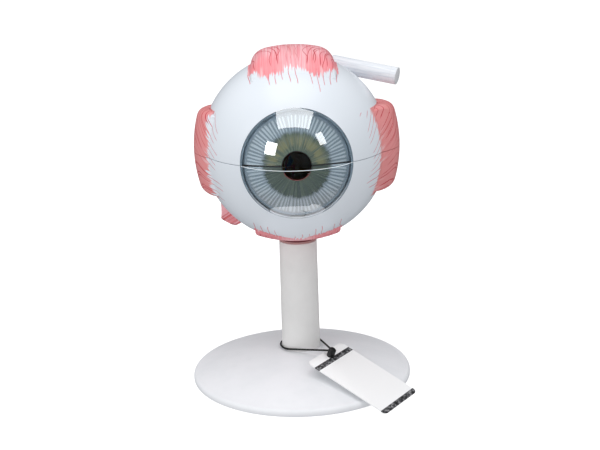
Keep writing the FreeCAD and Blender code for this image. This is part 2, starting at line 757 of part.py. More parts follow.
def make_screw():
    """The long screw, with its head in the base's recess and a hexagon socket."""
    body = new_body("stand_screw")
    seat = "(recess_depth - washer_thickness)"
    bottom = "(%s - screw_head_height)" % seat
    tip = "(%s + insert_length - seat_gap)" % POST_TOP
    chamfer = "(screw_radius / 3)"
    corners = [
        ("0", bottom),
        ("screw_head_radius", bottom),
        ("screw_head_radius", seat),
        ("screw_radius", seat),
        ("screw_radius", "%s - %s" % (tip, chamfer)),
        ("screw_radius - %s" % chamfer, tip),
        ("0", tip),
    ]
    revolve(body, corners, {}, role="XZ_Plane")
    sketch = new_sketch(body, "socket_hexagon", "XY_Plane")
    reach = size("screw_socket") / math.sqrt(3)
    points = [V(reach * math.cos(math.radians(60 * i)), reach * math.sin(math.radians(60 * i)), 0)
              for i in range(6)]
    for i in range(6):
        sketch.addGeometry(Part.LineSegment(points[i], points[(i + 1) % 6]))
    circle = sketch.addGeometry(Part.Circle(V(0, 0, 0), V(0, 0, 1), reach), True)
    for i in range(6):
        sketch.addConstraint(Sketcher.Constraint("Coincident", i, 2, (i + 1) % 6, 1))
        sketch.addConstraint(Sketcher.Constraint("PointOnObject", i, 1, circle))
        if i:
            sketch.addConstraint(Sketcher.Constraint("Equal", 0, i))
    sketch.addConstraint(Sketcher.Constraint("Coincident", circle, 3, -1, 1))
    sketch.addConstraint(Sketcher.Constraint("PointOnObject", 0, 1, -1))
    bind(sketch, Sketcher.Constraint("Radius", circle, reach), "screw_socket / sqrt(3)")
    before = body.Shape.Volume
    pocket = body.newObject("PartDesign::Pocket", "socket")
    pocket.Profile = sketch
    pocket.setExpression("Length", for_object("%s + screw_socket_depth" % bottom))
    pocket.Reversed = True
    doc.recompute()
    if body.Shape.Volume >= before:
        raise RuntimeError("the screw's socket cuts nothing")
    return body


def make_washer():
    """The flat washer under the screw's head."""
    body = new_body("stand_washer")
    low = "recess_depth - washer_thickness"
    hole = "screw_radius + screw_clearance / 2"
    revolve(body, [(hole, low), ("washer_radius", low), ("washer_radius", "recess_depth"),
                   (hole, "recess_depth")], {}, role="XZ_Plane")
    return body


def make_insert():
    """The threaded insert in the lower sclera's boss."""
    body = new_body("threaded_insert")
    low = "%s + seat_gap / 2" % POST_TOP
    high = "%s + insert_length" % low
    hole = "screw_radius + seat_gap"
    waist = "insert_radius - insert_waist"
    corners = [
        (hole, low),
        ("insert_radius", low),
        ("insert_radius", "%s + insert_collar" % low),
        (waist, "%s + insert_collar" % low),
        (waist, "%s - insert_collar" % high),
        ("insert_radius", "%s - insert_collar" % high),
        ("insert_radius", high),
        (hole, high),
    ]
    revolve(body, corners, {}, role="XZ_Plane")
    return body


def card_placement():
    """Where the tag lies: it rests on the base's edge and slopes down to the table."""
    slope = math.radians(size("card_slope"))
    heading = math.radians(size("card_azimuth"))
    level = V(math.cos(heading), math.sin(heading), 0)
    up = V(0, 0, 1)
    fall = level * math.cos(slope) - up * math.sin(slope)
    normal = level * math.sin(slope) + up * math.cos(slope)
    side = normal.cross(fall)
    # The tag's plane lies on the rounded edge of the base, seat_gap above it.
    touch = level * size("base_radius - base_round") + up * size("base_edge - base_round")
    touch = touch + normal * size("base_round + seat_gap")
    # Its low end stands just off the table.
    centre_height = math.sin(slope) * size("card_length / 2") + size("seat_gap")
    back = (centre_height - touch.z) / math.sin(slope)
    centre = touch - fall * back - side * size("card_shift")
    return FreeCAD.Placement(centre, FreeCAD.Rotation(fall, side, normal, "ZXY"))


def make_card():
    """The blank hanging tag: a rounded card with one hole."""
    body = doc.addObject("PartDesign::Body", "tag_card")
    body.Label = "tag_card"
    body.Placement = card_placement()
    sketch = new_sketch(body, "card_outline", "XY_Plane")
    half_length = "card_length / 2"
    half_width = "card_width / 2"
    draw_profile(sketch, [("-" + half_length, "-" + half_width), (half_length, "-" + half_width),
                          (half_length, half_width), ("-" + half_length, half_width)], {})
    pad = body.newObject("PartDesign::Pad", "card_sheet")
    pad.Profile = sketch
    pad.setExpression("Length", for_object("card_thickness"))
    doc.recompute()
    upright = ["Edge%d" % (i + 1) for i, edge in enumerate(pad.Shape.Edges)
               if abs(edge.tangentAt(edge.FirstParameter).z) > 0.9]
    rounding = body.newObject("PartDesign::Fillet", "card_corners")
    rounding.Base = (pad, upright)
    rounding.setExpression("Radius", for_object("card_corner"))
    doc.recompute()
    hole = ("card_hole_inset - card_length / 2", "0")
    circle_pocket(body, "card_hole", [hole], "card_hole_radius", "card_thickness * 2", True)
    return body


def lock_placement():
    """The middle of the tag's hole, on the card's upper face."""
    placement = card_placement()
    along = size("card_hole_inset - card_length / 2")
    centre = placement.multVec(V(along, 0, size("card_thickness")))
    return FreeCAD.Placement(centre, placement.Rotation)


def make_lock():
    """The small barrel that is pinned through the tag's hole and holds the loop's two ends."""
    body = doc.addObject("PartDesign::Body", "tag_lock")
    body.Label = "tag_lock"
    body.Placement = lock_placement()
    under = "(-card_thickness - seat_gap)"
    corners = [
        ("0", "%s - lock_flange" % under),
        ("lock_radius", "%s - lock_flange" % under),
        ("lock_radius", under),
        ("lock_pin_radius", under),
        ("lock_pin_radius", "seat_gap"),
        ("lock_radius", "seat_gap"),
        ("lock_radius", "lock_height - lock_taper"),
        ("lock_radius - lock_taper", "lock_height"),
        ("0", "lock_height"),
    ]
    revolve(body, corners, {}, role="XZ_Plane")
    return body


# Route of the tag's loop of cord: off one side of the lock, round the post's foot just above
# the base, and back to the lock's other side.
LOOP_ROUTE = [
    (17.3, -25.2, 24.3),
    (-9.9, -9.4, 20.0),
    (-13.4, -2.6, 19.9),
    (-12.7, 5.0, 19.9),
    (-8.0, 11.1, 19.9),
    (-0.8, 13.6, 19.9),
    (6.7, 11.9, 19.9),
    (12.0, 6.4, 20.0),
    (18.6, -24.4, 24.3),
]


def corner_radius(before, corner, after):
    """Radius of the arc at a corner of the route: as large as its two runs allow."""
    incoming = corner - before
    outgoing = after - corner
    turn = incoming.getAngle(outgoing)
    return 0.45 * min(incoming.Length, outgoing.Length) / math.tan(turn / 2), turn


def make_loop():
    """The tag's loop: a round cord of straight runs joined by tangent arcs."""
    points = [V(*point) for point in LOOP_ROUTE]
    radius = size("loop_radius")
    edges = []
    start = points[0]
    for before, corner, after in zip(points, points[1:], points[2:]):
        bend, turn = corner_radius(before, corner, after)
        print("loop bend %.1f mm, turn %.0f degrees" % (bend, math.degrees(turn)))
        reach = bend * math.tan(turn / 2)
        to_start = (before - corner).normalize()
        to_end = (after - corner).normalize()
        inward = (to_start + to_end).normalize()
        nearest = corner + inward * (bend / math.cos(turn / 2) - bend)
        arc_start = corner + to_start * reach
        arc_end = corner + to_end * reach
        edges.append(Part.LineSegment(start, arc_start).toShape())
        edges.append(Part.Arc(arc_start, nearest, arc_end).toShape())
        start = arc_end
    edges.append(Part.LineSegment(start, points[-1]).toShape())
    path = Part.Wire(edges)
    ring = Part.Circle(points[0], points[1] - points[0], radius)
    tube = path.makePipeShell([Part.Wire(ring.toShape())], True, False)
    expected = path.Length * math.pi * radius ** 2
    print("loop length %.1f mm, volume %.2f of %.2f" % (path.Length, tube.Volume, expected))
    if abs(tube.Volume - expected) > expected / 100:
        raise RuntimeError("the loop's volume is wrong")
    loop = doc.addObject("Part::Feature", "tag_loop")
    loop.Label = "tag_loop"
    loop.Shape = tube
    return loop


PIECES = []
for is_upper in (True, False):
    PIECES += [make_sclera(is_upper), make_cornea(is_upper), make_choroid(is_upper),
               make_iris(is_upper), make_ciliary_body(is_upper), make_optic_nerve(is_upper)]
make_boss(doc.getObject("lower_sclera"))
PIECES += [make_lens(), make_vitreous(), make_superior_rectus(), make_inferior_rectus()]
PIECES += make_side_rectus("lateral_rectus", "lateral_thickness", -90.0)
PIECES += make_side_rectus("medial_rectus", "medial_thickness", 90.0)
PIECES += [make_inferior_oblique(), make_superior_oblique(), make_pegs()]
PIECES += [make_base(), make_post(), make_screw(), make_washer(), make_insert()]
PIECES += [make_card(), make_lock(), make_loop()]

doc.recompute()
for item in doc.Objects:
    if "Invalid" in item.State or "Error" in item.State:
        raise RuntimeError("%s failed: %s" % (item.Name, item.State))
for piece in PIECES:
    if piece.Shape.isNull() or not piece.Shape.isValid() or not piece.Shape.Solids:
        raise RuntimeError(piece.Label + " has no valid solid")

os.makedirs("parts", exist_ok=True)
for piece in PIECES:
    piece.Shape.exportStep(os.path.join("parts", piece.Label + ".step"))
print(len(PIECES), "nodes written")
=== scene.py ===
"""The finish of a demountable eye anatomy model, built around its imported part.

Metres, +Z up, the cornea faces -Y and the nasal side is +X.  Sizes and outlines are given in
millimetres, an outline as pairs of distance from the axis and place along it.
"""

from math import acos, asin, cos, degrees, e, pi, radians, sin, sqrt, tau

import bpy
from mathutils import Matrix, Vector


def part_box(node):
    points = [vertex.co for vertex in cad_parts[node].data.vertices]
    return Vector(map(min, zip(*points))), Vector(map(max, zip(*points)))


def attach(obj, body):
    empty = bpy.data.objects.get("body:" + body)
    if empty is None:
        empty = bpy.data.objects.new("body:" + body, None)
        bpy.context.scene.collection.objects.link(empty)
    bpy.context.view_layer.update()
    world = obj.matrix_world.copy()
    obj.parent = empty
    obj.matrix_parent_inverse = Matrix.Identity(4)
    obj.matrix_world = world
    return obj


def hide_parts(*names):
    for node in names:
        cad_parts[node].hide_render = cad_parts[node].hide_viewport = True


bl_info = {
    "name": "Eye model finish",
    "version": (1, 0, 0),
    "blender": (4, 5, 0),
    "location": "3D View > Sidebar > Eye model",
    "description": "Models and paints a demountable eye model around its packed part",
    "category": "Object",
}

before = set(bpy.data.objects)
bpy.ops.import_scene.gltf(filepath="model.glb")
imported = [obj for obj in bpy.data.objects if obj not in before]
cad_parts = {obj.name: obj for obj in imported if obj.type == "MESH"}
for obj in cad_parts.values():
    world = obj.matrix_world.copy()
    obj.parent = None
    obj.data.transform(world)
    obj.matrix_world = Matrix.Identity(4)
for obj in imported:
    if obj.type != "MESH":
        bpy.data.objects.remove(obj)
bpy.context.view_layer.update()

MM = 0.001
X_AXIS = Vector((1, 0, 0))
Y_AXIS = Vector((0, 1, 0))
Z_AXIS = Vector((0, 0, 1))

# Heights of the halves' own centres, and the globe's radius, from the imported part.
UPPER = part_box("upper_sclera")[0].z
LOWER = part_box("lower_sclera")[1].z
CENTRE = (UPPER + LOWER) / 2
MIDDLE = (0.0, 0.0, CENTRE)
GLOBE = (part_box("upper_sclera")[1].z - UPPER) / MM

# Each half's sign, label and body, for the outer shells and for the inner ones.
HALVES = ((1, "upper", "upper_globe"), (-1, "lower", "stand"))
INNER_HALVES = ((1, "upper", "upper_choroid"), (-1, "lower", "lower_choroid"))

# The shells' radii and walls.  A plane lies that far in front of the globe's centre.
SCLERA_WALL = 3.0
OPENING = 0.5439 * GLOBE
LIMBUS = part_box("upper_cornea")[1].x / MM
LIMBUS_PLANE = sqrt(GLOBE ** 2 - LIMBUS ** 2)
CORNEA = 0.693 * GLOBE
CORNEA_WALL = 1.8
CORNEA_SKIN = 0.1
CORNEA_MIDDLE = sqrt(CORNEA ** 2 - LIMBUS ** 2) - LIMBUS_PLANE
RIM_GAP = 0.03
SHELL_GAP = 0.5
CHOROID = GLOBE - SCLERA_WALL - SHELL_GAP
CHOROID_WALL = 2.0
RETINA = CHOROID - CHOROID_WALL
IRIS_PLANE = 0.772 * GLOBE
IRIS_WALL = 1.2
IRIS_SEAT = 3.2
IRIS_DOME = 1.228 * GLOBE
PUPIL = 0.1456 * GLOBE
SPOKES = 78
LENS = 0.3947 * GLOBE
LENS_PLANE = 0.7281 * GLOBE
LENS_EDGE = 1.5
LENS_FRONT = 0.1184 * GLOBE
LENS_REAR = 0.1535 * GLOBE
VITREOUS = RETINA - SHELL_GAP
VITREOUS_FRONT = 0.5526 * GLOBE
VITREOUS_WALL = 2.0
DISH = 0.3684 * GLOBE
DISH_DEPTH = 0.0526 * GLOBE

# The locating pegs' turn from the eye's axis, and each half's holes: radius and depth.  A
# cutter starts CUTTER_PAST before the face that it drills.
PEG_TURN = radians(55.0)
PEG_HOLES = {1: (1.1, 3.3), -1: (0.85, 5.0)}
CUTTER_PAST = 1.0

# The boss and its insert, and the nerve.
BOSS = 11.0
BOSS_DROP = 2.25
INSERT_BORE = 4.45
INSERT_TOP = 4.2
SEAT_GAP = 0.1
NERVE_TURN = radians(15.0)
NERVE = 9.0
NERVE_FLARE = 1.8
NERVE_CORE = 6.2
SHEATH_END = GLOBE + 9.2
CORE_END = GLOBE + 11.8

# The stand.
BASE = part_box("stand_base")[1].x / MM
BASE_EDGE = 4.6
BASE_ROUND = 2.6
BASE_FOOT_ROUND = 1.2
BASE_DOME = 320.0
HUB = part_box("stand_base")[1].z / MM
POST_FOOT = 12.2
POST_TOP = 11.8
POST_TOP_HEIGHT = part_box("stand_post")[1].z / MM
POST_BORE = 7.0
POST_WEB = 5.0
SPIGOT = 9.5
SPIGOT_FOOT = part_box("stand_post")[0].z / MM
SCREW_HOLE = 3.3
RECESS_DEPTH = 6.0

# Each straight muscle's half, body and node, and the axis across its front edge.
STRAPS = (
    (1, "upper_globe", "superior_rectus", X_AXIS),
    (-1, "stand", "inferior_rectus", X_AXIS),
    (1, "upper_globe", "lateral_rectus_upper", Z_AXIS),
    (-1, "stand", "lateral_rectus_lower", Z_AXIS),
    (1, "upper_globe", "medial_rectus_upper", Z_AXIS),
    (-1, "stand", "medial_rectus_lower", Z_AXIS),
)
# A muscle's underside is what lies lower than SKIN over the globe.  Its front end gets more
# vertices and then runs out in steps: each step of turn lets it stand higher by one rise.
SKIN = 0.4
EDGE_CUTS = 2
EDGE_REACH = radians(16.0)
EDGE_STEPS = 40
EDGE_ANGLE = radians(0.3)
EDGE_RISE = 0.13

# The ways of the tendon and of the inferior oblique, and how far out the tendon ends.
TENDON_RUN = Vector((0.909, -0.36, -0.16)).normalized()
TENDON_END = 48.0
OBLIQUE_FOOT = Vector((-0.722, 0.424, -0.547)).normalized()
OBLIQUE_RUN = Vector((-0.092, -0.78, -0.75))
OBLIQUE_RUN = (OBLIQUE_RUN - OBLIQUE_FOOT * OBLIQUE_RUN.dot(OBLIQUE_FOOT)).normalized()
OBLIQUE_SIDE = OBLIQUE_RUN.cross(OBLIQUE_FOOT)

# In degrees from the cornea's middle: the painted flesh's front edges and its end, and the
# edge of the rim under the cornea.  In millimetres: how far the flesh reaches to either side
# of a muscle's middle line, and half the notch in its front edge.
TOP_EDGE = 61.6
SIDE_EDGE = 66.3
FLESH_END = 122.0
RIM_EDGE = 35.16
FLESH_HALF = 26.8
NOTCH = 6.8

# The tag: the ways it slopes and heads, its bands' places from its middle, and its cord's
# thickness and twist.
CARD_SLOPE = radians(21.5)
CARD_HEADING = radians(-35.0)
REAR_BAND = -21.8
FORE_BAND = 26.0
LOOP = 1.2
LOOP_TWIST = 560

# Route of the tag's loop in metres: off one side of the lock, round the post and back.
LOOP_ROUTE = [
    (0.0173, -0.0252, 0.0243),
    (-0.0037, -0.0130, 0.0210),
    (-0.0099, -0.0094, 0.0200),
    (-0.0134, -0.0026, 0.0199),
    (-0.0127, 0.0050, 0.0199),
    (-0.0080, 0.0111, 0.0199),
    (-0.0008, 0.0136, 0.0199),
    (0.0067, 0.0119, 0.0199),
    (0.0120, 0.0064, 0.0200),
    (0.0135, -0.0006, 0.0210),
    (0.0186, -0.0244, 0.0243),
]

# The new meshes' fineness and their soft edges, and distances that count as nothing.
FULL_TURN = 192
ARC_POINTS = 40
EDGE_SOFTNESS = 0.2
SOFT_EDGE_ANGLE = radians(50.0)
SMOOTH_ANGLE = radians(35.0)
WELD = 1e-6
FLAT = 1e-5

# The studio, in metres.  Each soft light has a place, a width, a height and a setting.
FLOOR_WIDTH = 60.0
LIGHTS = {
    "overhead_softbox": ((-0.014, -0.184, 1.035), 0.83, 0.64, "ceiling"),
    "left_softbox": ((-0.610, -0.604, 0.469), 0.31, 0.31, "left"),
    "right_softbox": ((0.593, -0.495, 0.636), 0.20, 0.30, "right"),
}
LIGHT_AIM = Vector((0, -0.025, CENTRE))
CAMERA_PLACE = (-0.01063, -0.75236, 0.31599)
CAMERA_PITCH, CAMERA_ROLL, CAMERA_YAW = radians(16.09), radians(-1.78), radians(0.93)
CAMERA_LENS = 75.15
SENSOR_WIDTH = 36.0


def srgb(red, green, blue):
    """A screen colour, 0 to 255, as the linear colour that a shader takes."""
    def linear(level):
        share = level / 255
        return share / 12.92 if share <= 0.04045 else ((share + 0.055) / 1.055) ** 2.4
    return (linear(red), linear(green), linear(blue), 1.0)


# ---- shader maths ------------------------------------------------------------------------

class Amount:
    """A value that varies over a surface.  Arithmetic on it adds Math nodes."""

    def __init__(self, paint, socket):
        self.paint = paint
        self.socket = socket

    def maths(self, operation, *others):
        return self.paint.maths(operation, self, *others)

    def __add__(self, other):
        return self.maths("ADD", other)

    def __sub__(self, other):
        return self.maths("SUBTRACT", other)

    def __rsub__(self, other):
        return self.maths("MULTIPLY_ADD", -1.0, other)

    def __mul__(self, other):
        return self.maths("MULTIPLY", other)

    def __truediv__(self, other):
        return self.maths("DIVIDE", other)

    def __rtruediv__(self, other):
        return self.paint.maths("DIVIDE", other, self)

    def __pow__(self, other):
        return self.maths("POWER", other)

    def __rpow__(self, other):
        return self.paint.maths("POWER", other, self)

    __radd__ = __add__
    __rmul__ = __mul__

    def bigness(self):
        """The value without its sign."""
        return self.maths("ABSOLUTE")

    def root(self):
        return self.maths("SQRT")

    def higher(self, other):
        """The higher one of the two values."""
        return self.maths("MAXIMUM", other)

    def rise(self, low, high):
        """0 below low, 1 above high, smooth between."""
        return self.paint.node("ShaderNodeMapRange", {"interpolation_type": "SMOOTHSTEP"},
                               {"Value": self, "From Min": low, "From Max": high})

    def fall(self, low, high):
        """1 below low, 0 above high, smooth between."""
        return 1 - self.rise(low, high)


class Paint:
    """A finish under construction.  x, y and z are millimetres from the given middle."""

    def __init__(self, name, middle=(0.0, 0.0, 0.0)):
        self.material = bpy.data.materials.new(name)
        self.material.use_nodes = True
        self.tree = self.material.node_tree
        self.tree.nodes.clear()
        self.shader = self.tree.nodes.new("ShaderNodeBsdfPrincipled")
        output = self.tree.nodes.new("ShaderNodeOutputMaterial")
        self.tree.links.new(self.shader.outputs[0], output.inputs["Surface"])
        self.x, self.y, self.z = self.split(self.node("ShaderNodeMapping", {}, {
            "Vector": self.node("ShaderNodeTexCoord", output="Object"),
            "Location": [-coordinate / MM for coordinate in middle],
            "Scale": (1 / MM, 1 / MM, 1 / MM)}))

    def node(self, kind, settings=None, values=(), output=0):
        """Any node: its settings are set first, then the values or links of its sockets."""
        made = self.tree.nodes.new(kind)
        for name, setting in (settings or {}).items():
            if name == "stops":
                self.set_stops(made.color_ramp, setting)
            else:
                setattr(made, name, setting)
        pairs = values.items() if isinstance(values, dict) else enumerate(values)
        for socket, value in pairs:
            self.feed(made.inputs[socket], value)
        return Amount(self, made.outputs[output])

    def set_stops(self, ramp, stops):
        """Fill a colour ramp with (position, colour) pairs."""
        while len(ramp.elements) < len(stops):
            ramp.elements.new(0.5)
        for element, (position, colour) in zip(ramp.elements, stops):
            element.position = position
            element.color = colour

    def feed(self, socket, value):
        if isinstance(value, Amount):
            self.tree.links.new(value.socket, socket)
        else:
            socket.default_value = value

    def maths(self, operation, *values):
        return self.node("ShaderNodeMath", {"operation": operation}, values)

    def split(self, place):
        """The three parts of a vector."""
        parts = self.node("ShaderNodeSeparateXYZ", {}, [place]).socket.node.outputs
        return [Amount(self, part) for part in parts]

    def point(self, x, y, z):
        return self.node("ShaderNodeCombineXYZ", {}, [x, y, z])

    def noise(self, x, y, z, scale=1.0, detail=2.0, roughness=0.5):
        return self.node("ShaderNodeTexNoise", {}, {
            "Vector": self.point(x, y, z), "Scale": scale, "Detail": detail,
            "Roughness": roughness})

    def grain(self, scale, **settings):
        """Noise over the piece's own place."""
        return self.noise(self.x, self.y, self.z, scale=scale, **settings)

    def network(self, x, y, z, scale):
        """Distance to the nearest edge of a net of cells."""
        return self.node("ShaderNodeTexVoronoi", {"feature": "DISTANCE_TO_EDGE"},
                         {"Vector": self.point(x, y, z), "Scale": scale})

    def layer(self, colour, *coats):
        """A colour with coats over it, each of them a share and its colour."""
        for share, coat in coats:
            colour = self.node("ShaderNodeMix", {"data_type": "RGBA"},
                               {0: share, 6: colour, 7: coat}, output=2)
        return colour

    def ramp(self, share, *stops):
        return self.node("ShaderNodeValToRGB", {"stops": stops}, [share])

    def lines(self, across, along, spacing, seed, wander, thickness):
        """1 on fine wandering lines that run along, and a random number for each line."""
        drift = self.noise(across / 16, along / 14, seed, detail=0.0) - 0.5
        place = across / spacing + drift * wander + seed
        off = (place.maths("FRACT") - 0.5).bigness() * spacing
        luck = self.node("ShaderNodeTexWhiteNoise", {"noise_dimensions": "1D"},
                         {"W": place.maths("FLOOR")})
        return off.fall(thickness * 0.5, thickness), luck

    def finish(self, colour, roughness, relief=None, depth=0.0, **sockets):
        """Set the shader's sockets, named with underscores, and hand over the material.
        relief is a height from 0 to 1, and depth the height in metres that 1 stands for."""
        if relief is not None:
            sockets["Normal"] = self.node("ShaderNodeBump", {}, {
                "Strength": 1.0, "Distance": depth, "Height": relief})
        sockets.update(Base_Color=colour, Roughness=roughness)
        for name, value in sockets.items():
            self.feed(self.shader.inputs[name.replace("_", " ")], value)
        return self.material


def new_paint(name, middle=MIDDLE):
    """A new finish and its three coordinates, from the globe's centre if nothing is said."""
    paint = Paint(name, middle)
    return paint, paint.x, paint.y, paint.z


def far(first, *others):
    """How far a point with these coordinates is from the middle."""
    total = first * first
    for other in others:
        total = total + other * other
    return total.root()


def towards(way, x, y, z):
    """How far a point lies in the direction of way."""
    return x * way.x + y * way.y + z * way.z


# ---- modelling ---------------------------------------------------------------------------

def set_mode(mode):
    bpy.ops.object.mode_set(mode=mode)


def select_mesh(action="SELECT"):
    bpy.ops.mesh.select_all(action=action)


def deselect_all():
    """Leave edit mode and select nothing."""
    if bpy.context.object and bpy.context.object.mode != "OBJECT":
        set_mode("OBJECT")
    bpy.ops.object.select_all(action="DESELECT")


def half_centre(half):
    """The centre of the upper half, the lower half or the whole globe."""
    return Vector((0, 0, {1: UPPER, -1: LOWER, 0: CENTRE}[half]))


def draw_line(name, points):
    """Draw a line by extruding a vertex from point to point.  Stays in edit mode."""
    deselect_all()
    bpy.ops.mesh.primitive_plane_add(size=MM)
    piece = bpy.context.object
    piece.name = piece.data.name = name
    set_mode("EDIT")
    select_mesh()
    bpy.ops.mesh.merge(type="CENTER")
    bpy.ops.transform.translate(value=points[0])
    for start, end in zip(points, points[1:]):
        bpy.ops.mesh.extrude_region_move(TRANSFORM_OT_translate={"value": end - start})
    select_mesh()
    bpy.ops.mesh.remove_doubles(threshold=WELD)
    select_mesh()
    return piece


def close_mesh():
    """Weld the seams and poles, turn the faces outwards and leave edit mode."""
    select_mesh()
    bpy.ops.mesh.remove_doubles(threshold=WELD)
    bpy.ops.mesh.delete_loose()
    select_mesh()
    bpy.ops.mesh.normals_make_consistent(inside=False)
    set_mode("OBJECT")
    bpy.ops.object.shade_smooth_by_angle(angle=SMOOTH_ANGLE)


def turned(name, outline, centre, along=Z_AXIS, start=X_AXIS, half=0):
    """A piece of revolution.  half is 1 for an upper half, -1 for a lower one, 0 for a whole."""
    points = [centre + start * r * MM + along * h * MM for r, h in outline]
    if half or outline[0][0] or outline[-1][0]:
        points.append(points[0])
    piece = draw_line(name, points)
    if half:
        bpy.ops.mesh.edge_face_add()
        select_mesh()
        bpy.ops.mesh.spin(steps=FULL_TURN // 2, angle=pi * half, center=centre, axis=along)
    else:
        bpy.ops.mesh.spin(steps=FULL_TURN, angle=tau, center=centre, axis=along)
    close_mesh()
    return piece


def turned_halves(halves, stem, outline, along=Y_AXIS, start=X_AXIS):
    """Turn one half after the other, and hand over its sign, label, body and piece."""
    for half, label, body in halves:
        yield half, label, body, turned(f"{label}_{stem}", outline, half_centre(half), along,
                                        start, half)


def round_bar(x, y, z, radius, length):
    """An upright bar used as a cutter, its radius and length in millimetres."""
    deselect_all()
    bpy.ops.mesh.primitive_cylinder_add(vertices=32, radius=radius * MM, depth=length * MM,
                                        location=(x, y, z))
    bpy.ops.object.transform_apply()
    return bpy.context.object


def join(pieces):
    """Join pieces into the first one."""
    deselect_all()
    for piece in pieces:
        piece.select_set(True)
    bpy.context.view_layer.objects.active = pieces[0]
    bpy.ops.object.join()
    return pieces[0]


def apply_modifier(piece, kind, **settings):
    """Add a modifier with its settings and apply it."""
    bpy.context.view_layer.objects.active = piece
    modifier = piece.modifiers.new(kind.lower(), kind)
    for name, setting in settings.items():
        setattr(modifier, name, setting)
    bpy.ops.object.modifier_apply(modifier=modifier.name)


def combine(piece, other, operation):
    """Grow a piece by another one or cut it away, and throw the other one away."""
    apply_modifier(piece, "BOOLEAN", object=other, operation=operation, solver="EXACT")
    bpy.data.objects.remove(other)


def soften_edges(piece, width):
    """Round the sharp edges a little, as a moulding has them."""
    apply_modifier(piece, "BEVEL", width=width, segments=2, limit_method="ANGLE",
                   angle_limit=SOFT_EDGE_ANGLE, use_clamp_overlap=False)
    bpy.ops.object.shade_smooth_by_angle(angle=SMOOTH_ANGLE)


def copied(node, name):
    """A welded, smooth copy of a CAD node."""
    deselect_all()
    piece = bpy.data.objects.new(name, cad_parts[node].data.copy())
    bpy.context.scene.collection.objects.link(piece)
    piece.data.name = name
    piece.select_set(True)
    bpy.context.view_layer.objects.active = piece
    set_mode("EDIT")
    select_mesh()
    bpy.ops.mesh.remove_doubles(threshold=WELD)
    set_mode("OBJECT")
    bpy.ops.object.shade_smooth_by_angle(angle=SMOOTH_ANGLE)
    return piece


def dress(piece, material, body, slot, *nodes):
    """Give a new piece its finish and its body, and hide the CAD nodes it stands for; its record
    slot is not used.
    """
    piece.data.materials.clear()
    piece.data.materials.append(material)
    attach(piece, body)
    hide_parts(*nodes)


def repaint(node, material):
    """Give a CAD node that stays a better finish."""
    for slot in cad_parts[node].material_slots:
        slot.material = material


def choose(piece, indices):
    """Select those vertices alone.  Stays in edit mode."""
    set_mode("EDIT")
    bpy.ops.mesh.select_mode(type="VERT")
    select_mesh("DESELECT")
    set_mode("OBJECT")
    for index in indices:
        piece.data.vertices[index].select = True
    set_mode("EDIT")


def press(piece, centre, indices, height):
    """Put those vertices at that height over the globe, in millimetres."""
    if not indices:
        return
    choose(piece, indices)
    bpy.ops.transform.tosphere(value=1.0, center_override=centre)
    set_mode("OBJECT")
    share = (GLOBE + height) * MM / (piece.data.vertices[indices[0]].co - centre).length
    set_mode("EDIT")
    bpy.ops.transform.resize(value=(share, share, share), center_override=centre)
    set_mode("OBJECT")


def settle(piece, centre, across):
    """Press a muscle's underside onto the globe and let its front edge run out."""
    def height(vertex):
        return (vertex.co - centre).length / MM - GLOBE

    def turn(vertex):
        away = vertex.co - centre
        return (away - across * away.dot(across)).angle(-Y_AXIS)

    def indices(wanted):
        return [vertex.index for vertex in piece.data.vertices if wanted(vertex)]

    front = min(turn(vertex) for vertex in piece.data.vertices)
    choose(piece, indices(lambda vertex: turn(vertex) < front + EDGE_REACH))
    bpy.ops.mesh.subdivide(number_cuts=EDGE_CUTS)
    set_mode("OBJECT")
    press(piece, centre, indices(lambda vertex: height(vertex) < SKIN), 0.0)
    for step in range(EDGE_STEPS):
        first, limit = front + step * EDGE_ANGLE, step * EDGE_RISE
        press(piece, centre, indices(
            lambda vertex: first <= turn(vertex) < first + EDGE_ANGLE
            and height(vertex) > limit), limit)
    set_mode("EDIT")
    close_mesh()


# ---- outlines ----------------------------------------------------------------------------

def dome(radius, middle, start, end, count=ARC_POINTS):
    """Points on a circle centred on the axis, by angle from the far end of the axis."""
    angles = [start + (end - start) * step / count for step in range(count + 1)]
    return [(radius * sin(angle), middle + radius * cos(angle)) for angle in angles]


def bow(start, end, radius, count=12):
    """Points on an arc from start to end that bulges to the right of the way."""
    first, last = Vector(start), Vector(end)
    chord = last - first
    right = Vector((chord.y, -chord.x)).normalized()
    middle = (first + last) / 2 - right * sqrt(radius ** 2 - chord.length_squared / 4)
    turn = 2 * asin(chord.length / 2 / radius)
    begin = first - middle
    arc = [Matrix.Rotation(turn * step / count, 2) @ begin + middle for step in range(count + 1)]
    return [tuple(point) for point in arc]


def on_axis(points):
    """The same outline with its ends exactly on the axis where they are nearly there."""
    return [(0.0 if abs(r) < 1e-4 else r, h) for r, h in points]


def sclera_outline():
    inner = GLOBE - SCLERA_WALL
    return (dome(GLOBE, 0, 0, pi - asin(LIMBUS / GLOBE), 90) + [(OPENING, -LIMBUS_PLANE)]
            + dome(inner, 0, pi - asin(OPENING / inner), 0, 60))


def cornea_outline():
    rim = LIMBUS_PLANE + CORNEA_MIDDLE + RIM_GAP
    inner = CORNEA - CORNEA_WALL
    return (dome(inner, CORNEA_MIDDLE, pi - acos(rim / inner), pi, 60)
            + dome(CORNEA, CORNEA_MIDDLE, pi, pi - acos(rim / CORNEA), 60))


def choroid_outline():
    return (dome(CHOROID, 0, 0, pi - acos(IRIS_PLANE / CHOROID), 60)
            + dome(RETINA, 0, pi - acos(IRIS_PLANE / RETINA), 0, 60))


